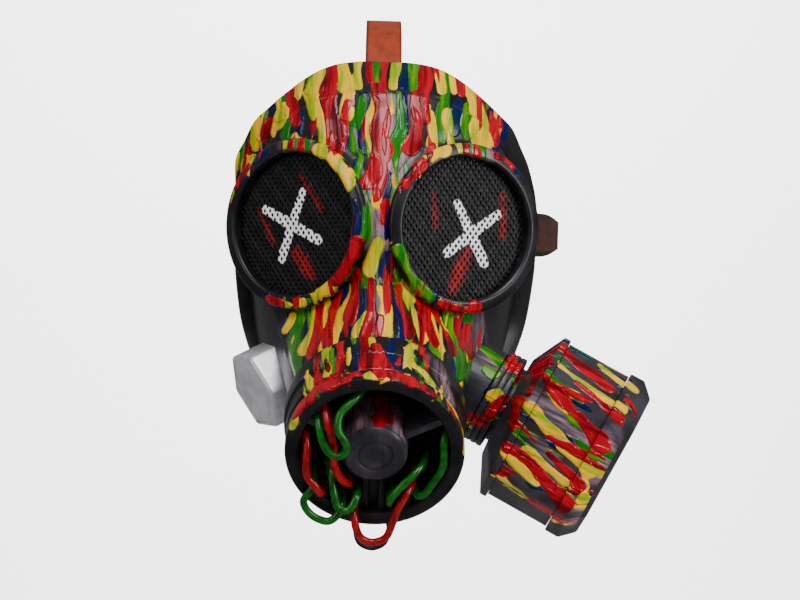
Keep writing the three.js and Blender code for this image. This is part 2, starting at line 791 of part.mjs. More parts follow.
// The head band runs from inside one rear edge of the shell round the head to the other
const strapInset = shellWall + gap + strapThickness;
const bandSide = faceHalfWidth - strapInset - 0.7;
const bandMiddle = shiftAt(0);
const backStrapRoute = [
  [bandSide - 1.8, -26, 0],
  [bandSide, -14, 0],
  [bandSide, 0, 0],
  [0.94 * bandSide, 35, 0],
  [0.73 * bandSide, 72, 0],
  [0.38 * bandSide, headBack - 7, 0],
  [0.62 * strapWidth, headBack, 0],
  [0, headBack, 0],
];
const backStrapPoints = [
  ...backStrapRoute.map(([x, y, z]) => [x + bandMiddle, y, z]),
  ...backStrapRoute.slice(0, -1).reverse().map(([x, y, z]) => [bandMiddle - x, y, z]),
];
const seatCutter = faceSheet(gap, shellWall + gap);

function seatedBand(name, geometry) {
  return meshOf(name, geometryOf(mainPiece(solidOf(geometry).subtract(seatCutter))), finish.leather);
}

part.add(seatedBand(
  'back_strap',
  bandAlong(backStrapPoints, new THREE.Vector3(0, 0, 1), strapWidth, strapThickness, 28),
));

const topStrapPoints = [
  [0, -63, browHeight - 19],
  [0, -53, browHeight - 3],
  [0, -40, crownHeight - 19],
  [0, -20, crownHeight - 7],
  [0, 12, crownHeight],
  [0, 52, crownHeight - 13],
  [1, 84, crownHeight - 48],
  [bandMiddle, headBack - 5, 34],
  [bandMiddle, headBack - 2 * gap - strapThickness, 13],
  [bandMiddle, headBack - gap - strapThickness, 0],
  [bandMiddle, headBack - gap - strapThickness, -strapWidth / 2],
];
part.add(seatedBand(
  'top_strap',
  bandAlong(topStrapPoints, new THREE.Vector3(-1, 0, 0), strapWidth, strapThickness, 26),
));

// A strap end folded back on itself behind the right rear edge, both ends seated on the head band
const tongueRoot = bandMiddle + bandSide + strapThickness + gap;
const tonguePoints = [
  [tongueRoot, -9, 0],
  [tongueRoot + 0.4 * tongueReach, -9.5, 0],
  [tongueRoot + 0.85 * tongueReach, -8, 0],
  [tongueRoot + tongueReach, -4.5, 0],
  [tongueRoot + 0.85 * tongueReach, -1.2, 0],
  [tongueRoot + 0.4 * tongueReach, 0, 0],
  [tongueRoot, 0, 0],
];
part.add(seatedBand(
  'strap_tongue',
  bandAlong(tonguePoints, new THREE.Vector3(0, 0, -1), tongueWidth, strapThickness, 12),
));

export default part;
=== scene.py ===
import math

import bmesh
import bpy
import numpy as np
from mathutils import Matrix, Vector


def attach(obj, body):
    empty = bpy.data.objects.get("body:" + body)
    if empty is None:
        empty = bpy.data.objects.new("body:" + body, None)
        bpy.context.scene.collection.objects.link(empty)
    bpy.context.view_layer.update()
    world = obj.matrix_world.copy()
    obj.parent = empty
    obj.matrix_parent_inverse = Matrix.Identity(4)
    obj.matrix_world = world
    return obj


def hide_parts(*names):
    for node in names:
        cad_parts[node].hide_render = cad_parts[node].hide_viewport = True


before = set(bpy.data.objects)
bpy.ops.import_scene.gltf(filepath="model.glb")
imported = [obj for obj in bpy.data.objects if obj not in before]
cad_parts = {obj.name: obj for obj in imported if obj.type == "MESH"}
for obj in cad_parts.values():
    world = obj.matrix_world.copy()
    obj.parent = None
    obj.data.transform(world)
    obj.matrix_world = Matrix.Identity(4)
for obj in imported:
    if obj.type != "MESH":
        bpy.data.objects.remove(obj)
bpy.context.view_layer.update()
print("frame loaded")

# Lengths in the dictionaries below are millimetres; meshes are made in metres
mm = 0.001


def linearColour(hexText, alpha=1.0):
    values = [int(hexText[i:i + 2], 16) / 255 for i in (1, 3, 5)]
    return tuple(v / 12.92 if v <= 0.04045 else ((v + 0.055) / 1.055) ** 2.4 for v in values) + (alpha,)


def addNode(material, kind, inputs=None, stops=None, **settings):
    node = material.node_tree.nodes.new(kind)
    for name, value in settings.items():
        setattr(node, name, value)
    for key, value in (inputs or {}).items():
        if isinstance(value, bpy.types.NodeSocket):
            material.node_tree.links.new(value, node.inputs[key])
        else:
            node.inputs[key].default_value = value
    for index, (place, hexText) in enumerate(stops or []):
        points = node.color_ramp.elements
        point = points[index] if index < 2 else points.new(place)
        point.position, point.color = place, linearColour(hexText)
    return node


def placeOf(material):
    return addNode(material, "ShaderNodeTexCoord").outputs["Object"]


def attributeOf(material, name, output="Fac"):
    return addNode(material, "ShaderNodeAttribute", attribute_name=name).outputs[output]


def noiseOf(material, place, scale, detail, more=None):
    return addNode(material, "ShaderNodeTexNoise",
                   {"Vector": place, "Scale": scale, "Detail": detail, **(more or {})}).outputs["Fac"]


def stretched(material, vector, along, shift=(0, 0, 0)):
    return addNode(material, "ShaderNodeMapping",
                   {"Vector": vector, "Location": shift, "Scale": (1, 1, along)}).outputs[0]


def mathOf(material, operation, *values):
    return addNode(material, "ShaderNodeMath", dict(enumerate(values)), operation=operation).outputs[0]


def rangeOf(material, value, start, end, low=0.0, high=1.0, **settings):
    return addNode(material, "ShaderNodeMapRange", {
        "Value": value, "From Min": start, "From Max": end, "To Min": low, "To Max": high}, **settings).outputs[0]


def rampOf(material, factor, *stops):
    return addNode(material, "ShaderNodeValToRGB", {"Fac": factor}, stops).outputs["Color"]


def mixOf(material, factor, first, second):
    return addNode(material, "ShaderNodeMix", {0: factor, 6: first, 7: second}, data_type="RGBA").outputs[2]


def bumpOf(material, height, strength, distance, **more):
    return addNode(material, "ShaderNodeBump",
                   {"Height": height, "Strength": strength, "Distance": distance, **more}).outputs[0]


def finishMaterial(material, inputs):
    shader = addNode(material, "ShaderNodeBsdfPrincipled", inputs)
    addNode(material, "ShaderNodeOutputMaterial", {"Surface": shader.outputs[0]})
    return material


def cloudedMaterial(name, clouds, stops, rough, grain=None, relief=None, inputs=None):
    # One noise colours and dulls the surface; a finer one, or the same, gives it relief
    material = newMaterial(name)
    place = placeOf(material)
    cloud = noiseOf(material, place, *clouds)
    inputs = dict(inputs or {})
    if relief:
        inputs["Normal"] = bumpOf(material, noiseOf(material, place, *grain) if grain else cloud, *relief)
    return finishMaterial(material, {
        "Base Color": rampOf(material, cloud, *stops),
        "Roughness": rangeOf(material, cloud, 0, 1, *rough), **inputs})


def newMaterial(name):
    material = bpy.data.materials.new(name)
    material.use_nodes = True
    material.node_tree.nodes.clear()
    return material


def useMaterial(piece, material):
    piece.data.materials.clear()
    piece.data.materials.append(material)


def unit(vector):
    return np.array(vector, float) / np.linalg.norm(vector)


def frameOf(origin, axis):  # local +Z along the axis, local +Y as near up as it can be
    forward = unit(axis)
    side = unit(np.cross([0, 0, 1], forward))
    rise = np.cross(forward, side)
    return np.array([side, rise, forward]), np.array(origin, float)


def toWorld(place, points):
    turn, origin = place
    return np.atleast_2d(points) @ turn + origin


def toLocal(place, points):
    turn, origin = place
    return (np.atleast_2d(points) - origin) @ turn.T


def shadeSmoothly(mesh, angle):
    mesh.shade_smooth()
    mesh.set_sharp_from_angle(angle=math.radians(angle))


def pieceFrom(name, bm, angle=35):
    mesh = bpy.data.meshes.new(name)
    bm.to_mesh(mesh)
    bm.free()
    piece = bpy.data.objects.new(name, mesh)
    bpy.context.scene.collection.objects.link(piece)
    shadeSmoothly(mesh, angle)
    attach(piece, "root")
    return piece


def moveTo(bm, place, points):
    for vert, point in zip(bm.verts, toWorld(place, points)):
        vert.co = point * mm


def pointsOf(piece):
    points = np.zeros(len(piece.data.vertices) * 3)
    piece.data.vertices.foreach_get("co", points)
    return points.reshape(-1, 3) / mm


def writeValues(piece, name, values):
    attribute = piece.data.attributes.new(name, "FLOAT", "POINT")
    attribute.data.foreach_set("value", np.asarray(values, np.float32))


def loftRings(name, rings, capped=True, angle=35):
    # One ring of points is joined up, then drawn on from ring to ring
    bm = bmesh.new()
    verts = [bm.verts.new(point) for point in np.asarray(rings[0]) * mm]
    edges = [bm.edges.new(pair) for pair in zip(verts, verts[1:] + verts[:1])]
    if capped:
        bmesh.ops.contextual_create(bm, geom=edges)
    for ring in rings[1:]:
        grown = bmesh.ops.extrude_edge_only(bm, edges=edges)["geom"]
        edges = [item for item in grown if isinstance(item, bmesh.types.BMEdge)]
        starts = {tuple(round(c, 7) for c in item.co): item
                  for item in grown if isinstance(item, bmesh.types.BMVert)}
        verts = [starts[tuple(round(c, 7) for c in vert.co)] for vert in verts]
        for vert, place in zip(verts, np.asarray(ring) * mm):
            vert.co = place
    if capped:
        bmesh.ops.contextual_create(bm, geom=edges)
    bmesh.ops.recalc_face_normals(bm, faces=bm.faces)
    return pieceFrom(name, bm, angle=angle)


def roundedProfile(corners, radius, step=2.0, closed=True):
    # Corners of a profile are rounded and its long runs are split, so that it lights and paints well
    corners = [np.array(c, float) for c in corners]
    count = len(corners)
    points = []
    for i, corner in enumerate(corners):
        if not closed and i in (0, count - 1):
            points.append(corner)
            continue
        before, after = corners[i - 1] - corner, corners[(i + 1) % count] - corner
        reach = min(radius, np.linalg.norm(before) * 0.4, np.linalg.norm(after) * 0.4)
        start, end = corner + unit(before) * reach, corner + unit(after) * reach
        for share in (0, 0.5, 1):
            points.append((1 - share) ** 2 * start + 2 * share * (1 - share) * corner + share ** 2 * end)
    result = []
    for i in range(len(points) if closed else len(points) - 1):
        start, end = points[i], points[(i + 1) % len(points)]
        parts = max(1, int(np.linalg.norm(end - start) / step))
        result += [start + (end - start) * k / parts for k in range(parts)]
    if not closed:
        result.append(points[-1])
    return np.array(result)


def spinProfile(name, profile, place, steps=160, closed=True, angle=30):
    # Radius and height pairs turned about the place's own axis
    turn, origin = place
    bm = bmesh.new()
    verts = [bm.verts.new(point) for point in toWorld(place, [[r, 0, h] for r, h in profile]) * mm]
    edges = [bm.edges.new(pair) for pair in zip(verts, verts[1:] + (verts[:1] if closed else []))]
    bmesh.ops.spin(bm, geom=verts + edges, cent=Vector(origin * mm), axis=Vector(turn[2]),
                   angle=2 * math.pi, steps=steps, use_merge=True)
    bmesh.ops.remove_doubles(bm, verts=bm.verts, dist=1e-6)
    bmesh.ops.recalc_face_normals(bm, faces=bm.faces)
    return pieceFrom(name, bm, angle=angle)


def smoothPath(points, steps):
    # Centripetal curve through the points, in even steps along its length
    points = np.array(points, float)
    ends = np.vstack([2 * points[0] - points[1], points, 2 * points[-1] - points[-2]])
    dense = []
    for i in range(1, len(ends) - 2):
        a, b, c, d = ends[i - 1:i + 3]
        t = np.cumsum([0] + [math.sqrt(np.linalg.norm(q - p)) for p, q in ((a, b), (b, c), (c, d))])
        for u in np.linspace(t[1], t[2], 14, endpoint=False):
            first = [(t[k + 1] - u) / (t[k + 1] - t[k]) * p + (u - t[k]) / (t[k + 1] - t[k]) * q
                     for k, (p, q) in enumerate(((a, b), (b, c), (c, d)))]
            second = [(t[k + 2] - u) / (t[k + 2] - t[k]) * first[k] + (u - t[k]) / (t[k + 2] - t[k]) * first[k + 1]
                      for k in range(2)]
            dense.append((t[2] - u) / (t[2] - t[1]) * second[0] + (u - t[1]) / (t[2] - t[1]) * second[1])
    dense.append(points[-1])
    dense = np.array(dense)
    lengths = np.concatenate([[0], np.cumsum(np.linalg.norm(np.diff(dense, axis=0), axis=1))])
    even = np.linspace(0, lengths[-1], steps + 1)
    return np.stack([np.interp(even, lengths, dense[:, k]) for k in range(3)], axis=1)


def roundSection(radius, sides):
    angles = np.arange(sides) / sides * 2 * math.pi
    return np.stack([radius * np.cos(angles), radius * np.sin(angles)], axis=1)


def sweepRings(path, section, sideAxis=None):
    # The section is carried along the path without twist, or kept square to one axis
    tangents = np.gradient(path, axis=0)
    tangents /= np.linalg.norm(tangents, axis=1)[:, None]
    rings, side = [], None
    for index, (point, tangent) in enumerate(zip(path, tangents)):
        if sideAxis is not None:
            side = unit(sideAxis)
        elif side is None:
            side = unit(np.cross(tangent, [0.31, 0.2, 0.93]))
        side = unit(side - tangent * (side @ tangent))
        up = np.cross(tangent, side)
        shape = section(index / (len(path) - 1)) if callable(section) else section
        rings.append(point + shape[:, :1] * side + shape[:, 1:] * up)
    return rings


cameraValues = {"distance": 1300, "azimuth": -1.2, "roll": 1.6, "pan": 14.4, "height": -41.4, "focalPixels": 2150,
                "imageWidth": 800, "sensor": 36, "near": 0.05, "far": 20}


def makeCamera(values):
    turn, roll = math.radians(values["azimuth"]), math.radians(values["roll"])
    right = Vector((math.cos(turn), math.sin(turn), 0))
    forward = Vector((-math.sin(turn), math.cos(turn), 0))
    up = Vector((0, 0, 1))
    place = -forward * values["distance"] + right * values["pan"] + up * values["height"]
    rolledRight = right * math.cos(roll) + up * math.sin(roll)
    rolledUp = -right * math.sin(roll) + up * math.cos(roll)
    data = bpy.data.cameras.new("photoCamera")
    data.sensor_width = values["sensor"]
    data.lens = values["focalPixels"] / values["imageWidth"] * values["sensor"]
    data.clip_start, data.clip_end = values["near"], values["far"]
    camera = bpy.data.objects.new("photoCamera", data)
    bpy.context.scene.collection.objects.link(camera)
    camera.matrix_world = Matrix((
        (rolledRight.x, rolledUp.x, -forward.x, place.x * mm),
        (rolledRight.y, rolledUp.y, -forward.y, place.y * mm),
        (rolledRight.z, rolledUp.z, -forward.z, place.z * mm),
        (0, 0, 0, 1),
    ))
    bpy.context.scene.camera = camera


makeCamera(cameraValues)
print("camera made")


face = {
    "wall": 2.6, "halfWidth": 90, "depth": 100, "brow": 95.5, "chin": 135, "rearShift": 5,
    "bandStep": 5, "bandRamp": 6.5, "blend": 12,
}
eye = {"spacing": 98.5, "forward": 88, "yaw": 30.5, "twist": 4, "rim": 48.3, "opening": 40.5, "flange": 4.5,
       "tube": 45, "tubeLength": 14, "recess": 5, "gap": 0.3}
snout = {"pitch": 32, "forward": 152, "drop": 124, "length": 36, "radius": 50, "wall": 3.4, "lip": 48.3, "gap": 0.3,
         "flare": 0.14}

faceRows = np.array([  # height, width, depth, power
    (-1.0, 0.53, 0.70, 2.2),
    (-0.78, 0.70, 0.80, 2.3),
    (-0.56, 0.81, 0.88, 2.3),
    (-0.30, 0.88, 0.93, 2.2),
    (0.0, 0.92, 0.97, 2.1),
    (0.32, 0.91, 0.96, 2.2),
    (0.62, 0.86, 0.90, 2.3),
    (0.82, 0.77, 0.83, 2.4),
    (1.0, 0.65, 0.74, 2.4),
])
outlineRows = np.array([  # side, height, back, band
    (0.0, 1.0, 0.60, 24),
    (0.16, 1.0, 0.60, 24),
    (0.33, 0.975, 0.585, 23),
    (0.48, 0.911, 0.56, 21),
    (0.63, 0.812, 0.495, 18),
    (0.745, 0.72, 0.455, 16),
    (0.84, 0.634, 0.42, 13),
    (0.905, 0.518, 0.36, 11),
    (0.965, 0.40, 0.30, 10),
    (0.995, 0.20, 0.20, 9),
    (1.0, 0.0, 0.13, 8),
    (1.0, -0.15, 0.12, 8),
    (0.96, -0.355, 0.15, 8),
    (0.91, -0.48, 0.19, 8),
    (0.82, -0.62, 0.27, 7),
    (0.68, -0.76, 0.38, 6),
    (0.48, -0.88, 0.49, 5),
    (0.25, -0.96, 0.57, 5),
    (0.0, -0.985, 0.60, 5),
])
bridgeRows = [(0.80, 0.60, 8), (0.98, 0.06, 12), (1.23, -0.44, 18)]  # forward, height, radius

snoutAxis = np.array([0, -math.cos(math.radians(snout["pitch"])), -math.sin(math.radians(snout["pitch"]))])
snoutFront = np.array([0.0, -snout["forward"], -snout["drop"]])
snoutBase = snoutFront - snoutAxis * snout["length"]
snoutPlace = frameOf(snoutFront, snoutAxis)
snoutRise = snoutPlace[0][1]
mouthTube = snout["radius"] - snout["wall"] - snout["gap"]


def eyePlaceOf(side):
    yaw = math.radians(eye["yaw"] - side * eye["twist"])
    return frameOf([side * eye["spacing"] / 2, -eye["forward"], 0], [side * math.sin(yaw), -math.cos(yaw), 0])


eyePlaces = {-1: eyePlaceOf(-1), 1: eyePlaceOf(1)}
neckPlace = frameOf([58.5, -56, -91], [0.886, -0.12, -0.461])
capPlace = frameOf([-58.5, -56, -91], [-0.81, -0.42, -0.41])


def heightOf(share):
    return np.where(np.asarray(share) > 0, np.asarray(share) * face["brow"], np.asarray(share) * face["chin"])


def rowValue(rows, column, share):
    keys, values = rows[:, 0], rows[:, column]
    last = len(rows) - 1
    index = np.clip(np.searchsorted(keys, share, side="right") - 1, 0, last - 1)
    t = np.clip((share - keys[index]) / (keys[index + 1] - keys[index]), 0, 1)
    start, end = values[index], values[index + 1]
    pull = (end - values[np.maximum(index - 1, 0)]) / 2
    push = (values[np.minimum(index + 2, last)] - start) / 2
    return ((2 * t ** 3 - 3 * t ** 2 + 1) * start + (t ** 3 - 2 * t ** 2 + t) * pull
            + (3 * t ** 2 - 2 * t ** 3) * end + (t ** 3 - t ** 2) * push)


def softUnion(first, second, radius):
    overlap = np.maximum(radius - np.abs(first - second), 0) / radius
    return np.minimum(first, second) - overlap ** 2 * radius / 4


def shiftAt(y):
    return face["rearShift"] * (1 + y / face["depth"])


def eyeField(points):
    side = np.where(points[:, 0] < 0, -1, 1)
    along, radial = np.zeros(len(points)), np.zeros(len(points))
    for value, place in eyePlaces.items():
        local = toLocal(place, points)
        chosen = side == value
        along[chosen] = local[chosen, 2]
        radial[chosen] = np.hypot(local[chosen, 0], local[chosen, 1])
    return along, radial


def faceField(points):
    share = np.where(points[:, 2] > 0, points[:, 2] / face["brow"], points[:, 2] / face["chin"])
    across = points[:, 0] - shiftAt(points[:, 1])
    width = rowValue(faceRows, 1, share) * face["halfWidth"]
    depth = rowValue(faceRows, 2, share) * face["depth"]
    power = rowValue(faceRows, 3, share)
    ratio = (np.abs(across / width) ** power + np.abs(points[:, 1] / depth) ** power) ** (1 / power)
    body = np.hypot(across, points[:, 1]) * (1 - 1 / np.maximum(ratio, 1e-6))
    offset = points - snoutBase
    rise = offset @ snoutRise
    setback = np.maximum(-(offset @ snoutAxis), 0)
    muzzle = np.hypot(points[:, 0], rise) - mouthTube - snout["flare"] * setback
    bridge = np.full(len(points), 1e9)
    for first, second in zip(bridgeRows, bridgeRows[1:]):
        a = np.array([0, -first[0] * face["depth"], float(heightOf(first[1]))])
        b = np.array([0, -second[0] * face["depth"], float(heightOf(second[1]))])
        t = np.clip((points - a) @ (b - a) / ((b - a) @ (b - a)), 0, 1)
        nearest = a + t[:, None] * (b - a)
        radius = first[2] + t * (second[2] - first[2])
        bridge = np.minimum(bridge, np.linalg.norm(points - nearest, axis=1) - radius)
    along, radial = eyeField(points)
    pod = -softUnion(-(along + eye["flange"] + eye["gap"]), -(radial - eye["rim"] + 2), 6)
    forward = along + eye["flange"] + 1
    hollow = np.minimum(forward, eye["rim"] + 1 + 0.75 * forward - radial)
    field = softUnion(body, muzzle, 1.5 * face["blend"])
    field = softUnion(field, bridge, face["blend"])
    field = -softUnion(-field, -hollow, 0.8 * face["blend"])
    return softUnion(field, pod, 0.6 * face["blend"])


rayCentre = np.array([0, 0.3 * face["depth"], -0.08 * face["chin"]])


def surfaceAlong(origins, directions, inset, low, high):
    near, far = np.full(len(directions), float(low)), np.full(len(directions), float(high))
    for _ in range(22):
        middle = (near + far) / 2
        inside = faceField(origins + directions * middle[:, None]) + inset < 0
        near, far = np.where(inside, middle, near), np.where(inside, far, middle)
    return origins + directions * near[:, None]


paintColours = ("Pale", "Navy", "Green", "Yellow", "Red")
farOutside = -20.0


def strokeDepths(flat, groups):
    # How far inside the nearest stroke of each colour a point lies, in millimetres
    depths = {name: np.full(len(flat), farOutside) for name in paintColours}
    for name, row in ((name, row) for strokes in groups for name, rows in strokes.items() for row in rows):
        x0, y0, x1, y1, r0, r1 = row
        start, span = np.array([x0, y0], float), np.array([x1 - x0, y1 - y0], float)
        t = np.clip((flat - start) @ span / max(span @ span, 1e-6), 0, 1)
        away = np.linalg.norm(flat - start - t[:, None] * span, axis=1)
        depths[name] = np.maximum(depths[name], r0 + t * (r1 - r0) - away)
    return depths


def paintPiece(piece, flat, groups, cover=None, spread=2.6, depth=0):
    # Each colour's depth, how far inside the painted region a point lies, and coordinates that run with the drips.
    # The cover says where paint may be; spread is how far thin runs of it reach out from the strokes
    depths = {"paint" + name: values for name, values in strokeDepths(flat, groups).items()}
    depths["painted"] = np.max(list(depths.values()), axis=0) + spread
    for name, values in depths.items():
        if cover is not None:
            values = np.minimum(values, np.where(cover, -farOutside, farOutside))
        writeValues(piece, name, np.maximum(values, farOutside))
    flow = piece.data.attributes.new("flow", "FLOAT_VECTOR", "POINT")
    across = np.column_stack([flat[:, 0], np.zeros(len(flat)) + depth, flat[:, 1]])
    flow.data.foreach_set("vector", (across * mm).ravel())


def scaledStrokes(strokes, length):
    # Strokes whose first coordinate is an angle in degrees, where one degree is the given length
    return {name: [(a * length, t0, b * length, t1, r0, r1) for a, t0, b, t1, r0, r1 in rows]
            for name, rows in strokes.items()}


def leaveBare(piece, material):
    paintPiece(piece, np.full((len(piece.data.vertices), 2), 99.0), [])
    useMaterial(piece, material)


# The pale colour is partly a real pale wash and mostly painted highlight and reflection
paintHex = {"Pale": "#e0a8b8", "Navy": "#060648", "Green": "#0c6c08", "Yellow": "#f7be00", "Red": "#b20018"}
paintTint = {"Pale": "#8a7f90", "Navy": "#02263c", "Green": "#5c9600", "Yellow": "#86a800", "Red": "#58000c"}
paintRare = {"Navy": 0.60, "Green": 0.615, "Yellow": 0.60, "Red": 0.615}


def paintedPlastic(name, baseHex, cloudHex, roughness, sparse):
    # Moulded PVC with thick acrylic dragged and dripped on it: the base is satin and nearly black, and each
    # colour stands up from it with a rounded, wet-looking edge
    material = newMaterial(name)
    place, flow = placeOf(material), attributeOf(material, "flow", "Vector")
    # The edges of the strokes sway over 10 mm and fray a little over 2 mm
    waves = noiseOf(material, stretched(material, flow, 0.5), 120, 0)
    frays = noiseOf(material, place, 520, 1)
    waveReach = mathOf(material, "MULTIPLY", mathOf(material, "ADD", waves, -0.5), 6.5)
    wobble = mathOf(material, "MULTIPLY_ADD", mathOf(material, "ADD", frays, -0.5), 0.7, waveReach)
    region = mathOf(material, "ADD", attributeOf(material, "painted"), wobble)
    # Brush drag: long with the drips and about 1 mm wide, and broader patches where two colours mixed
    drag = stretched(material, flow, 0.14)
    streaks = noiseOf(material, drag, 520, 2)
    patches = noiseOf(material, drag, 210, 2, {"Distortion": 0.4})
    # The moulding: faint clouding, and a fine grain of 0.7 mm
    clouds = noiseOf(material, place, 45, 3)
    grain = noiseOf(material, place, 1400, 1)
    colour = rampOf(material, clouds, (0.4, baseHex), (0.75, cloudHex))
    thickness = wet = None
    for index, layer in enumerate(paintColours):
        moved = mathOf(material, "ADD", attributeOf(material, "paint" + layer), wobble)
        tinted = rampOf(material, patches, (0.46, paintHex[layer]), (0.66, paintTint[layer]))
        if layer == "Pale":
            # Thinned white, wiped to a veil that shows the moulding through it. On the nose it is partly a real
            # pale wash and partly painted highlight; on the collar, the grille drum and the canister it is painted
            # highlight and reflection
            veil = rangeOf(material, moved, -5, 5, high=0.6)
            mask = mathOf(material, "MULTIPLY", veil, rangeOf(material, streaks, 0.25, 0.6))
        else:
            # Thinner runs of the same colour fill the gaps between its strokes
            shifted = stretched(material, flow, 0.24, (0.37 * index, 0.2, 0.11 * index))
            runs = noiseOf(material, shifted, 128, 1, {"Distortion": 0.3})
            over = mathOf(material, "ADD", runs, -paintRare[layer] - sparse)
            held = mathOf(material, "MINIMUM", mathOf(material, "MULTIPLY", over, 22), region)
            moved = mathOf(material, "MAXIMUM", moved, held)
            mask = rangeOf(material, moved, -0.12, 0.12)
            swell = rangeOf(material, moved, -0.2, 1, interpolation_type="SMOOTHSTEP")
            thickness = mathOf(material, "ADD", swell, thickness) if thickness else swell
            wet = mathOf(material, "MAXIMUM", mask, wet) if wet else mask
        colour = mixOf(material, mask, colour, tinted)
    shade = rangeOf(material, streaks, 0.3, 0.7, 0.78, 1.1)
    bright = addNode(material, "ShaderNodeHueSaturation", {"Color": colour, "Value": shade})
    worn = mathOf(material, "MULTIPLY_ADD", clouds, 0.14, rangeOf(material, wet, 0, 1, roughness, 0.12))
    moulded = bumpOf(material, grain, 0.1, 0.0003)
    dragged = bumpOf(material, streaks, 0.14, 0.0006, Normal=moulded)
    return finishMaterial(material, {
        "Base Color": bright.outputs[0], "Roughness": worn, "Specular IOR Level": 0.3,
        "Normal": bumpOf(material, thickness, 0.8, 0.0007, Normal=dragged)})


shellPlastic = paintedPlastic("mouldedPvcPainted", "#121114", "#262429", 0.24, 0.022)
collarPlastic = paintedPlastic("collarPvcPainted", "#100f12", "#232126", 0.22, 0.05)
# A lighter base than the shell's: on the canister's lower faces partly painted reflection of the floor, and on the
# grille drum and arms, which get it too, painted sheen
sheenGreyPlastic = paintedPlastic("canisterPvcPaintedSheenGrey", "#29262b", "#47434b", 0.26, 0.05)
print("painted plastics made")


shellValues = {"fineColumns": 270, "coarseColumns": 84, "rows": 92, "bandRows": 15}


def closedCurve(rows, samples=40):
    points = []
    count = len(rows)
    for i in range(count):
        a, b, c, d = rows[i - 1], rows[i], rows[(i + 1) % count], rows[(i + 2) % count]
        for t in np.arange(samples) / samples:
            points.append(0.5 * ((2 * b) + (c - a) * t + (2 * a - 5 * b + 4 * c - d) * t ** 2
                                 + (3 * b - a - 3 * c + d) * t ** 3))
    return np.array(points)


def rearEdge():
    side, height, back, band = outlineRows.T
    y = -back * face["depth"]
    shift = np.where(height > 0.35, 0.35 * shiftAt(y), shiftAt(y))
    right = np.stack([side * face["halfWidth"] + shift, y, heightOf(height), band], axis=1)
    left = np.stack([-side * face["halfWidth"] + shift, y, heightOf(height), band], axis=1)[1:-1][::-1]
    return closedCurve(np.vstack([right, left]))


def makeShell(values):
    dense = rearEdge()
    ring = np.vstack([dense, dense[:1]])
    lengths = np.concatenate([[0], np.cumsum(np.linalg.norm(np.diff(ring[:, :3], axis=0), axis=1))])
    half, coarse = values["fineColumns"] // 2, values["coarseColumns"]
    turns = np.concatenate([np.linspace(0, 0.27, half, endpoint=False),
                            np.linspace(0.27, 0.73, coarse, endpoint=False),
                            np.linspace(0.73, 1, half, endpoint=False)])
    at = turns * lengths[-1]
    edge = np.stack([np.interp(at, lengths, ring[:, k]) for k in range(3)], axis=1)
    band = np.interp(at, lengths, ring[:, 3])
    angles = turns * 2 * math.pi
    mouth = (snoutBase + np.outer(np.sin(angles), [1, 0, 0]) * mouthTube
             + np.outer(np.cos(angles), snoutRise) * mouthTube) - rayCentre
    start = mouth / np.linalg.norm(mouth, axis=1)[:, None]
    reach = np.linalg.norm(edge - rayCentre, axis=1)
    end = (edge - rayCentre) / reach[:, None]
    opening = np.arccos(np.clip(np.sum(start * end, axis=1), -1, 1))
    length = reach * opening
    step = np.minimum(face["bandStep"], 0.12 * length)

    def directionAt(share):
        first = np.sin((1 - share) * opening) / np.sin(opening)
        second = np.sin(share * opening) / np.sin(opening)
        return start * first[:, None] + end * second[:, None]

    rings = []
    ledge = 1 - (band + face["bandRamp"]) / length
    shares = [share * ledge for share in np.linspace(0, 1, values["rows"], endpoint=False)]
    drops = [np.zeros(len(band))] * len(shares)
    for ramp in np.linspace(0, 1, 11):
        shares.append(ledge + ramp * face["bandRamp"] / length)
        drops.append(step * (ramp * ramp * (3 - 2 * ramp) * 0.35 + ramp * 0.65))
    for share, drop in zip(shares, drops):
        directions = directionAt(share)
        rings.append(surfaceAlong(np.tile(rayCentre, (len(directions), 1)), directions, drop, 10, 260))
    foot = rings[-1]
    for share in np.linspace(0, 1, values["bandRows"] + 1)[1:]:
        swell = 0.9 * np.sin(share * math.pi)
        rings.append(foot + (edge - foot) * share + end * swell)
    cleaned = []
    for ringPoints in rings:  # the end of the muzzle slides into the back of the collar
        offset = ringPoints - snoutBase
        along = offset @ snoutAxis
        rise = offset @ snoutRise
        radial = np.hypot(ringPoints[:, 0], rise)
        tight = (along > -3.3) & (radial > mouthTube)
        scale = np.where(tight, mouthTube / np.maximum(radial, 1e-6), 1)
        moved = ringPoints.copy()
        moved[:, 0] = ringPoints[:, 0] * scale
        moved += np.outer(rise * (scale - 1), snoutRise)
        cleaned.append(moved)
    shell = loftRings("faceShell", cleaned, capped=False, angle=60)
    bm = bmesh.new()
    bm.from_mesh(shell.data)
    centres = np.array([f.calc_center_median() for f in bm.faces]) / mm
    along, radial = eyeField(centres)
    cut = [f for f, a, r in zip(bm.faces, along, radial) if r < eye["tube"] - 0.4 and a > -24]
    bmesh.ops.delete(bm, geom=cut, context="FACES")
    outward = sum(1 for f in bm.faces if f.normal.dot(f.calc_center_median() - Vector(rayCentre * mm)) > 0)
    if outward < len(bm.faces) / 2:
        bmesh.ops.reverse_faces(bm, faces=bm.faces)
    bm.to_mesh(shell.data)
    bm.free()
    shadeSmoothly(shell.data, 60)
    return shell


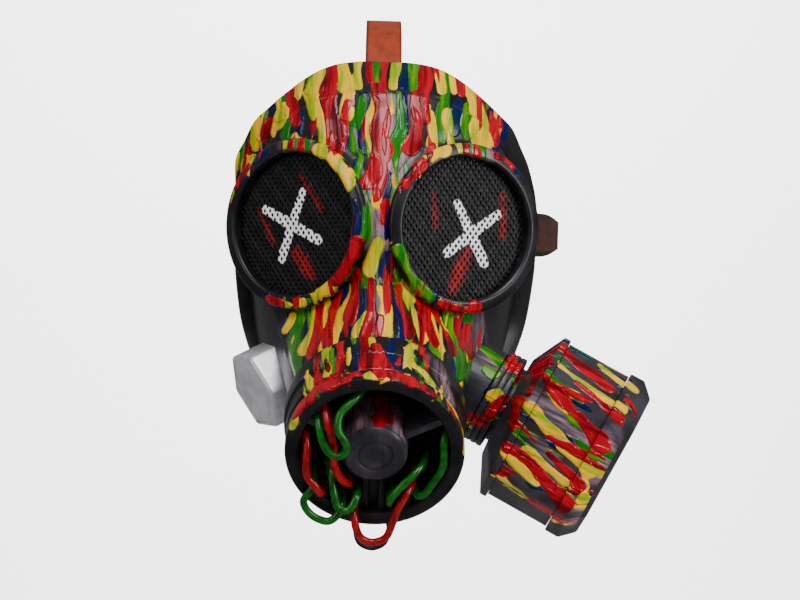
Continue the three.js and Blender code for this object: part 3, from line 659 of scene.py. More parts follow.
browStrokes = {
    "Navy": [(-65, 74, -60, 62, 3, 2.4), (11.5, 99, 12, 81, 2.4, 2.8), (40, 95, 40, 79, 2.6, 3),
        (64, 79, 63, 66, 2.8, 3), (72, 67, 71, 55, 2.8, 3), (-72, 48, -73, 42, 2, 2.4)],
    "Green": [(-60, 80, -57, 67, 2.6, 3), (-42, 92, -42, 77, 2.4, 2.8), (-4, 99, -4, 77, 2.4, 2.8),
        (17, 99, 17, 79, 2.6, 3), (36, 96, 36, 79, 1.8, 2.2), (58, 84, 58, 70, 2.4, 2.8),
        (-69, 66, -71, 53, 2.4, 2.8), (-81, 50, -83, 35, 2.2, 2.8)],
    "Yellow": [(-47, 90, -49, 75, 3.2, 3.8), (-37, 94, -39, 79, 4, 4.4), (-23, 99, -22, 79, 4.2, 4.6),
        (-14, 99, -15, 81, 3, 3.4), (6, 99, 6, 79, 2.4, 2.8), (31, 97, 32, 79, 3, 3.4),
        (51, 88, 53, 70, 3.8, 4.4), (67, 72, 66, 61, 2.4, 2.8), (-73, 62, -76, 47, 2.6, 3),
        (-85, 42, -87, 28, 2, 2.6), (-77, 40, -78, 36, 2, 2)],
    "Red": [(-53, 85, -54, 71, 3.4, 2.8), (-31, 98, -31, 77, 3.4, 3.8), (-8, 99, -8, 84, 2.2, 2.6),
        (1, 99, 1, 81, 1.8, 2.2), (24, 99, 24, 79, 3.6, 4.2), (45, 92, 44, 79, 2.2, 2.6),
        (-66, 60, -66, 50, 2.2, 2.8), (-78, 54, -79, 42, 1.8, 2.4)],
}
foreheadStrokes = {
    "Navy": [(-47, 63, -49, 50, 2.2, 2.6), (-24, 62, -24, 47, 1.6, 2), (-12, 73, -10, 41, 2.6, 3),
        (13, 67, 13, 51, 1.4, 1.8), (42, 73, 42, 55, 3, 3.4), (51, 53, 54, 43, 1.8, 2.2),
        (69, 59, 67, 47, 2.4, 2.8)],
    "Green": [(-54, 65, -55, 51, 2.4, 2.8), (-16.5, 61, -17, 43, 1.8, 2.2), (-7.5, 62, -8, 39, 1.8, 2.2),
        (9, 75, 9, 45, 2.4, 2.8), (33, 71, 34, 51, 3, 3.4), (48, 71, 49, 53, 2.4, 2.8)],
    "Yellow": [(-58, 69, -60, 57, 3, 3.6), (-42, 75, -36, 58, 3.8, 4.4), (-38, 62, -34, 47, 3, 3.6),
        (-20, 75, -20, 61, 3.2, 3.6), (5, 75, 4, 65, 2, 2.4), (28, 65, 27, 47, 2.4, 2.8),
        (37, 66, 39, 46, 2, 2.6), (55, 73, 58, 48, 4.6, 6), (66, 61, 64, 51, 2.4, 2.8)],
    "Red": [(-51, 71, -50, 58, 3, 3.4), (-30, 75, -27, 43, 4, 4.8), (-2, 77, -1, 39, 4.6, 5.4),
        (19, 75, 17, 45, 3.6, 4.6), (25, 77, 24, 61, 3, 3.6)],
}
noseStrokes = {
    # The pale strokes on the nose bridge are partly a real pale wash and partly painted highlight
    "Pale": [(2, 70, 1, -6, 4, 8), (12, 46, 10, 20, 4, 6), (-10, 60, -12, 50, 3, 4)],
    "Navy": [(-15, 35, -13, 21, 1.6, 2.2), (3, -16, 4, -31, 2, 2.6)],
    "Green": [(-12, 41, -14, 27, 1.8, 2.2), (9, 44, 8, 12, 1.4, 1.8), (9, -4, 17, -37, 2.2, 3.4),
        (-7, -22, -9, -34, 1.4, 2)],
    "Yellow": [(-2, 19, -2, 11, 2.4, 3), (-1, -11, -5, -25, 2.8, 3.6)],
    "Red": [(-4, 40, -8, 23, 2.8, 3.6), (3, 12, 2, 2, 2, 2.4), (-12, -4, -15, -27, 2.2, 3.6),
        (7, -16, 8, -30, 1.4, 1.8)],
}
muzzleStrokes = {
    "Pale": [(57, -48, 60, -74, 1, 3)],
    "Navy": [(-10, -40, -12, -59, 1.4, 1.8), (10, -41, 12, -63, 1.8, 2.2)],
    "Green": [(-43, -50, -46, -66, 3.2, 4), (-46, -66, -39, -90, 4, 3), (-25, -46, -26, -69, 1.4, 2),
        (14, -43, 17, -63, 1.4, 2), (40, -46, 47, -82, 2.8, 4.2), (50, -46, 53, -70, 2.4, 3.2)],
    "Yellow": [(-35, -46, -40, -71, 2, 2.8), (-28, -43, -31, -73, 2, 2.6), (-15, -35, -24, -65, 2.4, 3.4),
        (-6, -49, -10, -65, 2.2, 2.8), (2, -37, 4, -61, 3.4, 4.6), (18, -37, 24, -62, 2.2, 2.8),
        (27, -41, 36, -68, 2, 2.6), (36, -49, 41, -68, 1.6, 2), (-49, -52, -52, -60, 1.6, 2)],
    "Red": [(-32, -45, -36, -75, 2.2, 3), (-21, -37, -28, -67, 2.2, 3), (-13, -30, -16, -52, 2.4, 3.2),
        (-3, -33, -6, -63, 2.4, 3.2), (1, -51, 1, -66, 2.2, 2.8), (12, -35, 17, -60, 2.2, 2.8),
        (22, -39, 32, -64, 2.2, 2.8), (33, -45, 42, -70, 1.8, 2.4), (46, -46, 48, -66, 1.8, 2.4)],
}


def paintShell(shell):
    points = pointsOf(shell)
    # The layout is laid on from the front, and each drip runs down with a slight wave
    x = points[:, 0] + 0.9 * np.sin(points[:, 2] / 6 + points[:, 0] / 9)
    flat = np.stack([x, points[:, 2]], axis=1)
    paintPiece(shell, flat, (browStrokes, foreheadStrokes, noseStrokes, muzzleStrokes), points[:, 1] < -8)


def thickenWall(piece, thickness):
    wall = piece.modifiers.new("wall", "SOLIDIFY")
    wall.thickness = thickness * mm
    wall.offset = -1
    return wall


# Unpainted inner side of the moulding: matt black PVC, clouded with release dust
barePlastic = cloudedMaterial("mouldedPvcInner", (60, 4), ((0.4, "#0a090b"), (0.75, "#1b191d")), (0.42, 0.62),
                              (1100, 1), (0.15, 0.0003), {"IOR": 1.46})
faceShell = makeShell(shellValues)
paintShell(faceShell)
thickenWall(faceShell, face["wall"]).material_offset = 1
useMaterial(faceShell, shellPlastic)
faceShell.data.materials.append(barePlastic)
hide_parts("mask_shell")
print("face shell made")


rimProfile = [
    (eye["opening"] + 1.5, -eye["tubeLength"]), (eye["tube"], -eye["tubeLength"]), (eye["tube"], -eye["flange"]),
    (eye["rim"], -eye["flange"]), (eye["rim"], -1.2), (eye["rim"] - 1.4, 0), (eye["opening"] + 1.6, 1),
    (eye["opening"], 0), (eye["opening"], -eye["recess"]), (eye["opening"] + 1.5, -eye["recess"]),
]


def arcStrokes(groups):
    # Strokes that follow the rim: start and end angle in degrees, their radius, then their half widths
    arcs = {}
    for name, rows in groups.items():
        arcs[name] = []
        for start, end, radius, width, widthEnd in rows:
            turns = np.radians(np.linspace(start, end, 4))
            widths = np.linspace(width, widthEnd, 4)
            spots = [(radius * math.cos(t), radius * math.sin(t)) for t in turns]
            arcs[name] += [(*spots[k], *spots[k + 1], widths[k], widths[k + 1]) for k in range(3)]
    return arcs


rimPaint = {
    -1: {
        "Pale": [(100, 80, 45, 0.5, 1)],
        "Navy": [(128, 116, 45, 3, 2.4), (16, -6, 45, 2.2, 2.6)],
        "Green": [(-74, -67, 45.5, 1.8, 2.2)],
        "Yellow": [(68, 30, 44.5, 3.2, 3.6), (-92, -78, 45.5, 2.4, 2), (-62, -50, 45, 2.6, 3),
            (170, 158, 46.5, 1.2, 1.6)],
        "Red": [(152, 136, 45.5, 2.2, 3), (-14, -44, 45, 2.6, 3.2), (-112, -97, 45.5, 2.2, 2.8)],
    },
    1: {
        "Pale": [(86, 74, 45, 0.5, 1)],
        "Navy": [(100, 92, 46.5, 2, 2.4), (50, 42, 46.5, 2, 1.6)],
        "Green": [(-162, -118, 45, 3, 3.6)],
        "Yellow": [(122, 108, 46, 2.8, 3.6), (-117, -112, 44, 1.4, 1.8), (-92, -84, 47.5, 1.2, 1)],
        "Red": [(150, 131, 45, 3, 3.6), (67, 53, 46.5, 1.6, 2.2), (-112, -80, 45.5, 2.4, 3)],
    },
}
crossPaint = {
    -1: {
        "Pale": [(-4.5, -0.5, -23.5, 8, 3.3, 2.4), (-4.5, -0.5, 14, -9, 3.3, 2.8),
            (-4.5, -0.5, 2.5, 18, 3.1, 2.2), (-4.5, -0.5, -11, -20, 3.1, 2.6)],
        "Red": [(1, 27, 15, 9, 0.2, 1), (-28, 8, -18, -10, 0.2, 0.8), (-1, -16, 6, -24, 2.2, 3.6),
            (6, -24, 11, -30, 3.6, 1.4)],
    },
    1: {
        "Pale": [(6, -3, -3.5, 14, 3.2, 2.3), (6, -3, 15, -19, 3.4, 2.9), (6, -3, 23, 9, 3.1, 2.6),
            (6, -3, -9, -14, 3.3, 2.9)],
        "Red": [(-19, 19, -17, 1, 0.2, 1), (26, 20, 27, -3, 0.6, 1.2), (4.5, -12, 0, -22, 1.8, 3.6),
            (0, -22, -5, -34, 3.6, 2.6)],
    },
}
netValues = {"across": 3.7, "up": 5.0, "inset": 0.29 * 1.9, "thickness": 0.7, "depth": 0.7, "waviness": 0.25}


def makeNet(name, side, values):
    # Slanted cells, each opened by an inset whose middle is taken out, then rounded
    place = eyePlaces[side]
    reach = eye["opening"] + 1
    count = int(2 * reach * 1.5 / values["across"])
    bm = bmesh.new()
    bmesh.ops.create_grid(bm, x_segments=count, y_segments=count, size=0.5)
    bmesh.ops.scale(bm, vec=Vector((count, count, 1)), verts=bm.verts)
    bmesh.ops.rotate(bm, matrix=Matrix.Rotation(math.radians(45), 3, "Z"), verts=bm.verts)
    scale = Vector((values["across"] / math.sqrt(2), values["up"] / math.sqrt(2), 1))
    bmesh.ops.scale(bm, vec=scale, verts=bm.verts)
    outer = [f for f in bm.faces if f.calc_center_median().length > reach - 1]
    bmesh.ops.delete(bm, geom=outer, context="FACES")
    webs = bmesh.ops.inset_individual(bm, faces=bm.faces[:], thickness=values["inset"], use_even_offset=True)
    bmesh.ops.delete(bm, geom=list(set(bm.faces) - set(webs["faces"])), context="FACES")
    bmesh.ops.subdivide_edges(bm, edges=bm.edges[:], cuts=1, use_grid_fill=True)
    bmesh.ops.smooth_vert(bm, verts=[v for v in bm.verts if v.is_boundary], factor=0.5,
                          use_axis_x=True, use_axis_y=True)
    local = np.array([v.co for v in bm.verts])
    ripple = np.sin(local[:, 0] * 2.1) * np.sin(local[:, 1] * 1.7)
    local[:, 2] = -eye["recess"] - values["depth"] + values["waviness"] * ripple
    moveTo(bm, place, local)
    normal = Vector(place[0][2])
    if sum(f.normal.dot(normal) for f in bm.faces) < 0:
        bmesh.ops.reverse_faces(bm, faces=bm.faces)
    net = pieceFrom(name, bm, angle=50)
    paintPiece(net, toLocal(place, pointsOf(net))[:, :2], [crossPaint[side]])
    thickenWall(net, values["thickness"])
    return net


def meshPlastic():
    # Punched PVC-coated mesh: dull black webs, with white and red acrylic on their faces
    material = newMaterial("punchedMeshPainted")
    place = placeOf(material)
    frays = noiseOf(material, place, 520, 3)
    shift = mathOf(material, "ADD", frays, -0.5)
    colour = rampOf(material, frays, (0.4, "#060607"), (0.7, "#111013"))
    for layer, hexText, wave, low, high in (("Red", "#b80004", 7, -2.2, 5), ("Pale", "#f6f5f8", 2.4, -0.3, 0.3)):
        moved = mathOf(material, "MULTIPLY_ADD", shift, wave, attributeOf(material, "paint" + layer))
        colour = mixOf(material, rangeOf(material, moved, low, high), colour, linearColour(hexText))
    return finishMaterial(material, {
        "Base Color": colour, "Roughness": 0.5, "Specular IOR Level": 0.25,
        "Normal": bumpOf(material, noiseOf(material, place, 2200, 1), 0.3, 0.0002)})


# Nearly black sheet behind the nets and inside the snout: painted shade standing in for the dark hollow inside the
# mask; smooth, with faint dust
shadeSheet = cloudedMaterial("nearBlackShadeSheet", (300, 4), ((0.5, "#060607"), (0.8, "#121214")), (0.35, 0.6),
                         inputs={"IOR": 1.49})
netPlastic = meshPlastic()
for side, label in ((-1, "left"), (1, "right")):
    rim = spinProfile("eyeRim_" + label, roundedProfile(rimProfile, 0.7, 1.4), eyePlaces[side], 180)
    local = toLocal(eyePlaces[side], pointsOf(rim))
    paintPiece(rim, local[:, :2], [arcStrokes(rimPaint[side])], local[:, 2] > -eye["flange"] - 0.2)
    useMaterial(rim, shellPlastic)
    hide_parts("eye_rim_" + label)
    net = makeNet("eyeNet_" + label, side, netValues)
    useMaterial(net, netPlastic)
    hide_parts("eye_net_" + label)
    # The near-black sheet behind each net is painted shade
    useMaterial(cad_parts["eye_lens_" + label], shadeSheet)
print("eyes made")


collarBore = snout["lip"] - 4.3
collarProfile = [
    (46.6, -39), (50, -39), (49.6, -25.5), (48.9, -25.1), (48.5, -24.2), (48.2, -13), (46.9, -12.2), (46.6, -9.8),
    (48.3, -9), (48.3, -1), (47.3, 0), (42.5, 0), (40.5, -1), (40.5, -4), (collarBore, -4), (collarBore, -32.3),
    (41.5, -32.3), (41.5, -34), (46.6, -35),
]
collarStrokes = {  # angle from the top, millimetres behind the lip
    # The pale strokes are painted highlight on the collar's top
    "Pale": [(40, 32, 52, 14, 3, 4), (-34, 28, -28, 20, 1, 2)],
    "Navy": [(-14, 36, -14, 12, 1.8, 2), (9, 38, 9, 10, 2.6, 3)],
    "Green": [(-27, 3, -24, 9, 2.6, 2.4), (-29, 34, -29, 15, 1.4, 1.6), (20, 38, 19, 24, 1.8, 2),
        (30, 28, 30, 20, 1.2, 1.4), (-54, 20, -50, 14, 1.4, 1.6)],
    "Yellow": [(-63, 2, -56, 9, 3.6, 2.6), (-70, 0, -62, 1, 2.6, 2.6), (-50, 26, -46, 12, 2, 2.2),
        (-34, 36, -34, 16, 1.8, 2.2), (-18, 30, -19, 10, 2, 2.4), (-4, 36, -3, 13, 2, 2.6), (-6, 3, 2, 4, 4, 4),
        (15, 33, 24, 20, 2.8, 3.2), (24, 20, 42, 11, 3.2, 2.8), (42, 11, 66, 6, 2.6, 2.2),
        (66, 6, 86, 3, 2.2, 2.8)],
    "Red": [(-58, 5, -29, 6, 6.4, 5.6), (-44, 3, -20, 3, 3.4, 3), (-42, 34, -40, 14, 2.2, 2.6),
        (-24, 38, -22, 12, 2.6, 3), (-9, 39, -8, 12, 2.4, 2.8), (-1, 30, 2, 12, 2.4, 4), (0, 9, 3, 2, 3.6, 2),
        (15, 36, 14, 16, 2, 2.4), (8, 5, 24, 5, 4.6, 5), (24, 4, 40, 3, 4.4, 3.4), (46, 7, 60, 3, 1.6, 2),
        (28, 36, 34, 24, 1.6, 2), (-16, 8, -10, 4, 2.6, 2.4)],
}
collar = spinProfile("snoutCollar", roundedProfile(collarProfile, 0.6, 1.3), snoutPlace, 220)
local = toLocal(snoutPlace, pointsOf(collar))
angleFromTop = np.degrees(np.arctan2(local[:, 0], local[:, 1]))
collarRadial = np.hypot(local[:, 0], local[:, 1])
# The drips carry on round the lip: its front face counts as further forward
roundLip = np.where(local[:, 2] > -1.5, np.maximum(snout["lip"] - collarRadial, 0), 0)
collarFlat = np.stack([angleFromTop * snout["radius"] * math.pi / 180, -local[:, 2] - roundLip], axis=1)
paintPiece(collar, collarFlat, [scaledStrokes(collarStrokes, snout["radius"] * math.pi / 180)], collarRadial > 42.5,
           depth=collarRadial / 4)
useMaterial(collar, collarPlastic)
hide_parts("snout_collar")
# The backing inside the snout gets the same near-black painted shade
useMaterial(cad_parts["snout_backing"], shadeSheet)

drumProfile = [(0.01, -29.7), (19, -29.7), (19, -27), (17.5, 0), (15.5, 2), (10.2, 2), (9.6, 1.2), (8.7, 1.2),
               (7.9, 2), (5.5, 2), (4.8, 1.5), (0.01, 1.5)]
armValues = {"angles": (28, 154), "thickness": 4, "inner": 14.5, "front": -4.5, "depth": 22}
postValues = {"width": 12, "channel": 5.4, "inner": 14.5, "front": -4.5, "depth": 22, "floorHalf": 3.2,
              "floorFront": -7.6}
drumPaint = {
    # The pale strokes are painted reflection on the drum's top
    "Pale": [(12, -20, 13, -5, 4, 3), (-8, -22, -9, -5, 5, 4)],
    "Red": [(4, -24, 4.5, -8, 4.8, 4.4), (2, -8, 3, -1, 3.4, 3.0)],
}


def blockPiece(name, low, high, turn=0.0, bevel=0.6):
    # A block between two corners in the snout's own frame, turned about its axis
    bm = bmesh.new()
    bmesh.ops.create_cube(bm, size=1)
    low, high = np.array(low, float), np.array(high, float)
    bmesh.ops.scale(bm, vec=Vector(high - low), verts=bm.verts)
    bmesh.ops.translate(bm, vec=Vector((low + high) / 2), verts=bm.verts)
    bmesh.ops.bevel(bm, geom=bm.edges[:], offset=bevel, segments=2, profile=0.5, material=-1, affect="EDGES")
    bmesh.ops.rotate(bm, matrix=Matrix.Rotation(turn, 3, "Z"), verts=bm.verts)
    moveTo(bm, snoutPlace, [v.co[:] for v in bm.verts])
    bmesh.ops.recalc_face_normals(bm, faces=bm.faces)
    return pieceFrom(name, bm)


drumSection = roundedProfile(drumProfile, 0.6, 1.4, closed=False)
drum = spinProfile("grilleDrum", drumSection, snoutPlace, 96, closed=False)
local = toLocal(snoutPlace, pointsOf(drum))
paintPiece(drum, local[:, [0, 2]], [drumPaint], (local[:, 1] > 4) & (local[:, 2] < -0.5), spread=-20)
# The drum gets the lighter canister plastic: painted sheen on its top
useMaterial(drum, sheenGreyPlastic)
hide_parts("snout_grille")
# The arms get the lighter canister plastic too: painted sheen
for index, angle in enumerate(armValues["angles"]):
    half = armValues["thickness"] / 2
    arm = blockPiece(f"grilleArm_{index + 1}", (armValues["inner"], -half, armValues["front"] - armValues["depth"]),
                     (collarBore - 0.4, half, armValues["front"]), math.radians(angle))
    leaveBare(arm, sheenGreyPlastic)
postFoot, postBack = -collarBore + 0.6, postValues["front"] - postValues["depth"]
for index, (near, far) in enumerate(((-0.5 * postValues["width"], -0.5 * postValues["channel"]),
                                     (0.5 * postValues["channel"], 0.5 * postValues["width"]))):
    rail = blockPiece(f"grillePostRail_{index + 1}", (near, postFoot, postBack),
                      (far, -postValues["inner"], postValues["front"]))
    leaveBare(rail, shellPlastic)
floorOfPost = blockPiece("grillePostFloor", (-postValues["floorHalf"], postFoot, postBack),
                         (postValues["floorHalf"], -postValues["inner"], postValues["floorFront"]))
leaveBare(floorOfPost, shellPlastic)
print("snout made")

wireFoot = -29.7
wireValues = {"radius": 2.15, "sides": 14, "steps": 90}
wireRoutes = {
    "green_wire_1": [
        (-7, 33, wireFoot), (-7, 33.5, -14), (-10, 33, -6), (-19, 27, 3), (-19.5, 20, 8.5), (-16.5, 16, 10.5),
        (-15, 9, 10), (-19, 5, 10), (-24, 6.5, 9.2), (-27.5, 10.5, 6), (-30, 17, 1), (-31, 20.5, -5),
        (-32, 21.5, -16), (-32, 21.5, wireFoot)],
    "red_wire_1": [
        (-29, 27, wireFoot), (-29.5, 27.5, -14), (-27.5, 25.5, -5), (-24.5, 19, 4), (-22, 6, 4), (-21.5, -6, 3),
        (-17.5, -15, 3), (-13.5, -21, -1), (-13, -23.5, -10), (-13, -23.5, wireFoot)],
    "red_wire_2": [
        (-39.5, 7, wireFoot), (-39.5, 7, -14), (-37, 5, -6.5), (-36.3, 0, -1), (-36.5, -7, 3.4), (-35, -14, 5),
        (-31, -18, 6.3), (-28.8, -22.5, 5.8), (-27.6, -24.5, 2.5), (-27, -26, -3), (-27, -27, -9),
        (-27.5, -27.5, wireFoot)],
    "green_wire_2": [
        (-26, -13, wireFoot), (-26, -13, -14), (-23.5, -15, -4), (-21.5, -23, 4), (-18.5, -31, 7.5),
        (-13.5, -32.5, 7.5), (-9, -27, 3), (-8.7, -27.5, -4), (-9, -28, wireFoot)],
    "green_wire_3": [
        (-34, -21, wireFoot), (-32.5, -19.8, -7), (-32, -20, -1), (-33.2, -22, 2.9), (-37.5, -29, 5.2),
        (-33, -37, 6.5), (-24, -41, 6.5), (-19, -37.5, 5), (-16.8, -33.5, 1), (-16.5, -33.5, -6),
        (-17, -34, wireFoot)],
    "red_wire_3": [
        (-10, -36.5, wireFoot), (-10, -36.5, -12), (-10, -36.5, 0), (-9.8, -39.5, 6), (-8.5, -45, 8),
        (-5.5, -51, 8), (0, -53.5, 8), (7, -50.5, 8), (10.5, -41, 8), (13, -32, 7), (17.5, -24, 4), (21, -21, -4),
        (22, -20.5, wireFoot)],
    "green_wire_4": [
        (29, -9, wireFoot), (28, -9, -12), (24, -10, -1), (15, -16.5, 6), (9.5, -23, 8), (8.8, -29.5, 4),
        (8.9, -31, -6), (9, -32, wireFoot)],
    "green_wire_5": [
        (38.5, 9, wireFoot), (38.5, 9, -12), (37, 7, -5), (36.8, -8, -1), (31.5, -20, -1), (27, -26, 0.5),
        (23.5, -27.5, -1), (22.5, -27, -10), (23, -27, wireFoot)],
}


def sleevePlastic(name, hexText, darkHex):
    # Extruded PVC sleeve: bright, glossy and slightly uneven, darker where its relief dips
    return cloudedMaterial(name, (220, 3), ((0.34, darkHex), (0.56, hexText)), (0.12, 0.34), None, (0.3, 0.0005),
                           {"Specular IOR Level": 0.4})


sleeves = {"red": sleevePlastic("redPvcSleeve", "#9a0004", "#700003"),
           "green": sleevePlastic("greenPvcSleeve", "#085f0a", "#054206")}
for node, route in wireRoutes.items():
    colour = node.split("_")[0]
    path = toWorld(snoutPlace, smoothPath(route, wireValues["steps"]))
    rings = sweepRings(path, roundSection(wireValues["radius"], wireValues["sides"]))
    wire = loftRings(node.replace("_wire_", "Wire_"), rings)
    useMaterial(wire, sleeves[colour])
    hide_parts(node)

loopRoute = [(-8.5, -48.7, -6), (-9.1, -54.45, -3), (-7, -60.3, 0), (0, -62.9, 1.5), (7, -60.3, 0),
             (9.1, -54.45, -3),
             (8.5, -48.7, -6)]
loopRings = sweepRings(toWorld(snoutPlace, smoothPath(loopRoute, 60)), roundSection(1.3, 12))
chinLoop = loftRings("chinLoop", loopRings)
leaveBare(chinLoop, shellPlastic)
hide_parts("chin_loop")
print("wires made")


canister = {"radius": 50.6, "body": 38.4, "cornerShift": 7.5, "turn": 5, "lid": 9, "overhang": 2.2, "chamfer": 8,
            "slope": 10, "slopeInset": 21, "rim": 4, "reach": 21.5, "rounding": 2.4, "step": 1.4}
lidRadius = canister["radius"] + canister["overhang"]
nearRim = canister["reach"] + canister["slope"]
bodyStart = nearRim + canister["rim"]
farLid = bodyStart + canister["body"]
lidBevel = farLid + canister["lid"]


def sixSided(radius, values):
    angles = [math.radians(30 + 60 * k + values["turn"] + (1 if k % 2 else -1) * values["cornerShift"])
              for k in range(6)]
    corners = [(radius * math.cos(a), radius * math.sin(a)) for a in angles]
    return roundedProfile(corners, values["rounding"], values["step"])


def hexRings(levels):
    # Every ring has the same number of points, so the first outline is scaled
    outline = sixSided(lidRadius, canister)
    return [toWorld(neckPlace, np.column_stack([outline * (radius / lidRadius), np.full(len(outline), height)]))
            for radius, height in levels]


bodyLevels = [(canister["radius"], h) for h in np.linspace(bodyStart + 0.3, farLid, 34)]
canisterStrokes = {  # turn in degrees from the front, up positive; millimetres from the near rim
    # The pale strokes are painted highlight, a band along the body's faces
    "Pale": [(17, -2, 10, 40, 3.6, 3.6), (-9, 8, -16, 24, 0.6, 1)],
    "Navy": [(112, 10, 110, 40, 1.6, 2)],
    "Green": [(77, -2, 76, 14, 1.2, 1.8), (55, 4, 50, 16, 1.2, 1.6), (37, -2, 30, 22, 2, 1.4),
        (7, 30, 1, 44, 1.4, 2.2), (-13, -2, -18, 12, 1.6, 2), (-33, 34, -35, 44, 2.4, 3),
        (120, 0, 116, 40, 3, 3)],
    "Yellow": [(84, -2, 80, 44, 4, 4), (72, 20, 64, 44, 2, 3), (50, 2, 40, 44, 2.2, 3.4),
        (26, 4, 20, 18, 1, 1.2), (10, -2, 2, 18, 3.6, 4.4), (2, 18, -9, 44, 4.6, 5.4),
        (-19, 8, -27, 38, 2.6, 3.4), (-28, -2, -36, 22, 3.2, 2.6), (-45, 4, -51, 14, 4, 4.6),
        (-51, 14, -60, 20, 2.4, 0.8), (-55, 20, -54, 40, 0.4, 0.8), (136, 4, 132, 44, 3, 4),
        (-150, 0, -154, 30, 3, 4)],
    "Red": [(66, -2, 56, 30, 5, 5.4), (43, 14, 33, 44, 1.6, 2.6), (31, -2, 22, 24, 2.2, 3.6),
        (22, 24, 12, 44, 4.2, 4.6), (-4, -2, -10, 10, 1.8, 2.4), (-14, 20, -23, 44, 2, 3.8),
        (-22, -2, -27, 14, 2.2, 2.6), (-27, 14, -38, 41, 3.2, 5), (-25, -2, -25, 3, 3, 2),
        (-58, 18, -57, 44, 0.7, 1.8), (104, 0, 98, 30, 3, 4), (152, 0, 148, 34, 3, 4)],
}
rimStrokes = {
    # The pale stroke is painted highlight on the near end's bevel
    "Pale": [(84, -9, 70, -4, 2, 3)],
    "Red": [(20, -6, 60, -9, 2.4, 3), (-10, -5, 14, -10, 1.6, 3)],
}
lidStrokes = {
    # The pale strokes are painted reflection on the lid's chamfer
    "Pale": [(20, 46, -10, 50, 3, 4), (-30, 52, -60, 54, 3, 3)],
    "Yellow": [(-20, 45, -30, 50, 3, 3)],
    "Red": [(50, 44, 46, 54, 3, 3)],
}
turnLength = canister["radius"] * math.pi / 180


rimLevels = [(lidRadius - canister["slopeInset"] - 0.6, canister["reach"])]
rimLevels += [(lidRadius - canister["slopeInset"] * (1 - s), canister["reach"] + canister["slope"] * s)
              for s in np.linspace(0, 0.985, 14)]
rimLevels += [(lidRadius, nearRim + 0.5), (lidRadius, bodyStart - 0.5), (lidRadius - 0.5, bodyStart)]
lidLevels = [(lidRadius - 0.6, farLid + 0.3), (lidRadius, farLid + 0.9)]
lidLevels += [(lidRadius, h) for h in np.linspace(farLid + 2, lidBevel - 0.5, 5)]
lidLevels += [(lidRadius - canister["chamfer"] * s, lidBevel + canister["chamfer"] * s)
              for s in np.linspace(0.06, 0.94, 6)]
# The end face has a shallow recess
lidLevels += [(lidRadius - canister["chamfer"] - inset, lidBevel + canister["chamfer"] - sunk)
              for inset, sunk in ((0.8, 0), (9, 0), (10, 0.8), (30, 0.8))]
for name, levels, strokes, nodes in (
        ("canisterBody", bodyLevels, {}, "canister_body"),
        ("canisterNearEnd", rimLevels, rimStrokes, "canister_rim"),
        ("canisterLid", lidLevels, lidStrokes, "canister_lid")):
    part = loftRings(name, hexRings(levels), angle=25)
    spot = toLocal(neckPlace, pointsOf(part))
    turn = np.degrees(np.arctan2(spot[:, 1], -spot[:, 0]))
    # The drips stop on the lid's bevel
    paintPiece(part, np.column_stack([turn * turnLength, spot[:, 2] - bodyStart]),
               [scaledStrokes(group, turnLength) for group in (canisterStrokes, strokes)],
               spot[:, 2] <= lidBevel + 5)
    useMaterial(part, sheenGreyPlastic)
    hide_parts(nodes)


def seatHeights(place, flat, inset):
    # Where lines along the place's axis meet the face
    origins = toWorld(place, np.column_stack([flat, np.full(len(flat), -30.0)]))
    directions = np.tile(place[0][2], (len(flat), 1))
    hits = surfaceAlong(origins, directions, inset, 0, 60)
    return toLocal(place, hits)[:, 2]


def seatedBase(place, outline, inset):
    # Rings from the middle outward, so that the underside lies in the cheek's wall
    rings = []
    for scale in (0.04, 0.3, 0.55, 0.8, 1.0):
        flat = outline * scale
        rings.append(np.column_stack([flat, seatHeights(place, flat, inset)]))
    return rings


neckValues = {"boss": 26, "bossTop": 7, "start": 8, "groove": 27.6, "rib": 28.5, "pitch": 3.6, "ribs": 3, "end": 23}
neckProfile = [(24.4, neckValues["start"]), (neckValues["groove"], neckValues["start"])]
height = neckValues["start"]
for rib in range(neckValues["ribs"]):
    neckProfile += [(neckValues["rib"], height + 0.5), (neckValues["rib"], height + 3.1),
                    (neckValues["groove"], height + neckValues["pitch"])]
    height += neckValues["pitch"]
neckProfile += [(neckValues["end"], height), (neckValues["end"], canister["reach"] - 0.1)]
circle = roundSection(1.0, 144)
bossRing = circle * neckValues["boss"]
neckRings = seatedBase(neckPlace, bossRing, 1.2)
seat = neckRings[-1][:, 2]
bossTop = neckValues["bossTop"]
neckRings += [np.column_stack([bossRing, np.minimum(seat + (bossTop - seat) * s, bossTop)])
              for s in np.linspace(0.14, 1, 7)]
for radius, level in roundedProfile(neckProfile, 0.5, 1.5, closed=False):
    neckRings.append(np.column_stack([circle * radius, np.full(len(circle), level)]))
neckStrokes = {
    "Pale": [(50, -4, 44, 4, 2, 3)],
    "Green": [(62, -6, 56, 6, 4, 5), (34, 0, 30, 6, 2, 3)],
    "Yellow": [(4, 11, 10, 14, 3, 3)],
    "Red": [(76, 10, 48, 14, 2.6, 3.4), (60, 16, 40, 20, 3, 2.4), (-2, 17, -30, 13, 3, 3.4),
            (12, 20, -6, 16, 2.4, 3), (-34, 6, -24, 10, 2, 2.4)],
}
neck = loftRings("canisterNeck", [toWorld(neckPlace, ring) for ring in neckRings], angle=30)
spot = toLocal(neckPlace, pointsOf(neck))
neckLength = 28 * math.pi / 180
turn = np.degrees(np.arctan2(spot[:, 1], -spot[:, 0]))
paintPiece(neck, np.column_stack([turn * neckLength, spot[:, 2]]), [scaledStrokes(neckStrokes, neckLength)])
useMaterial(neck, sheenGreyPlastic)
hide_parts("canister_neck")

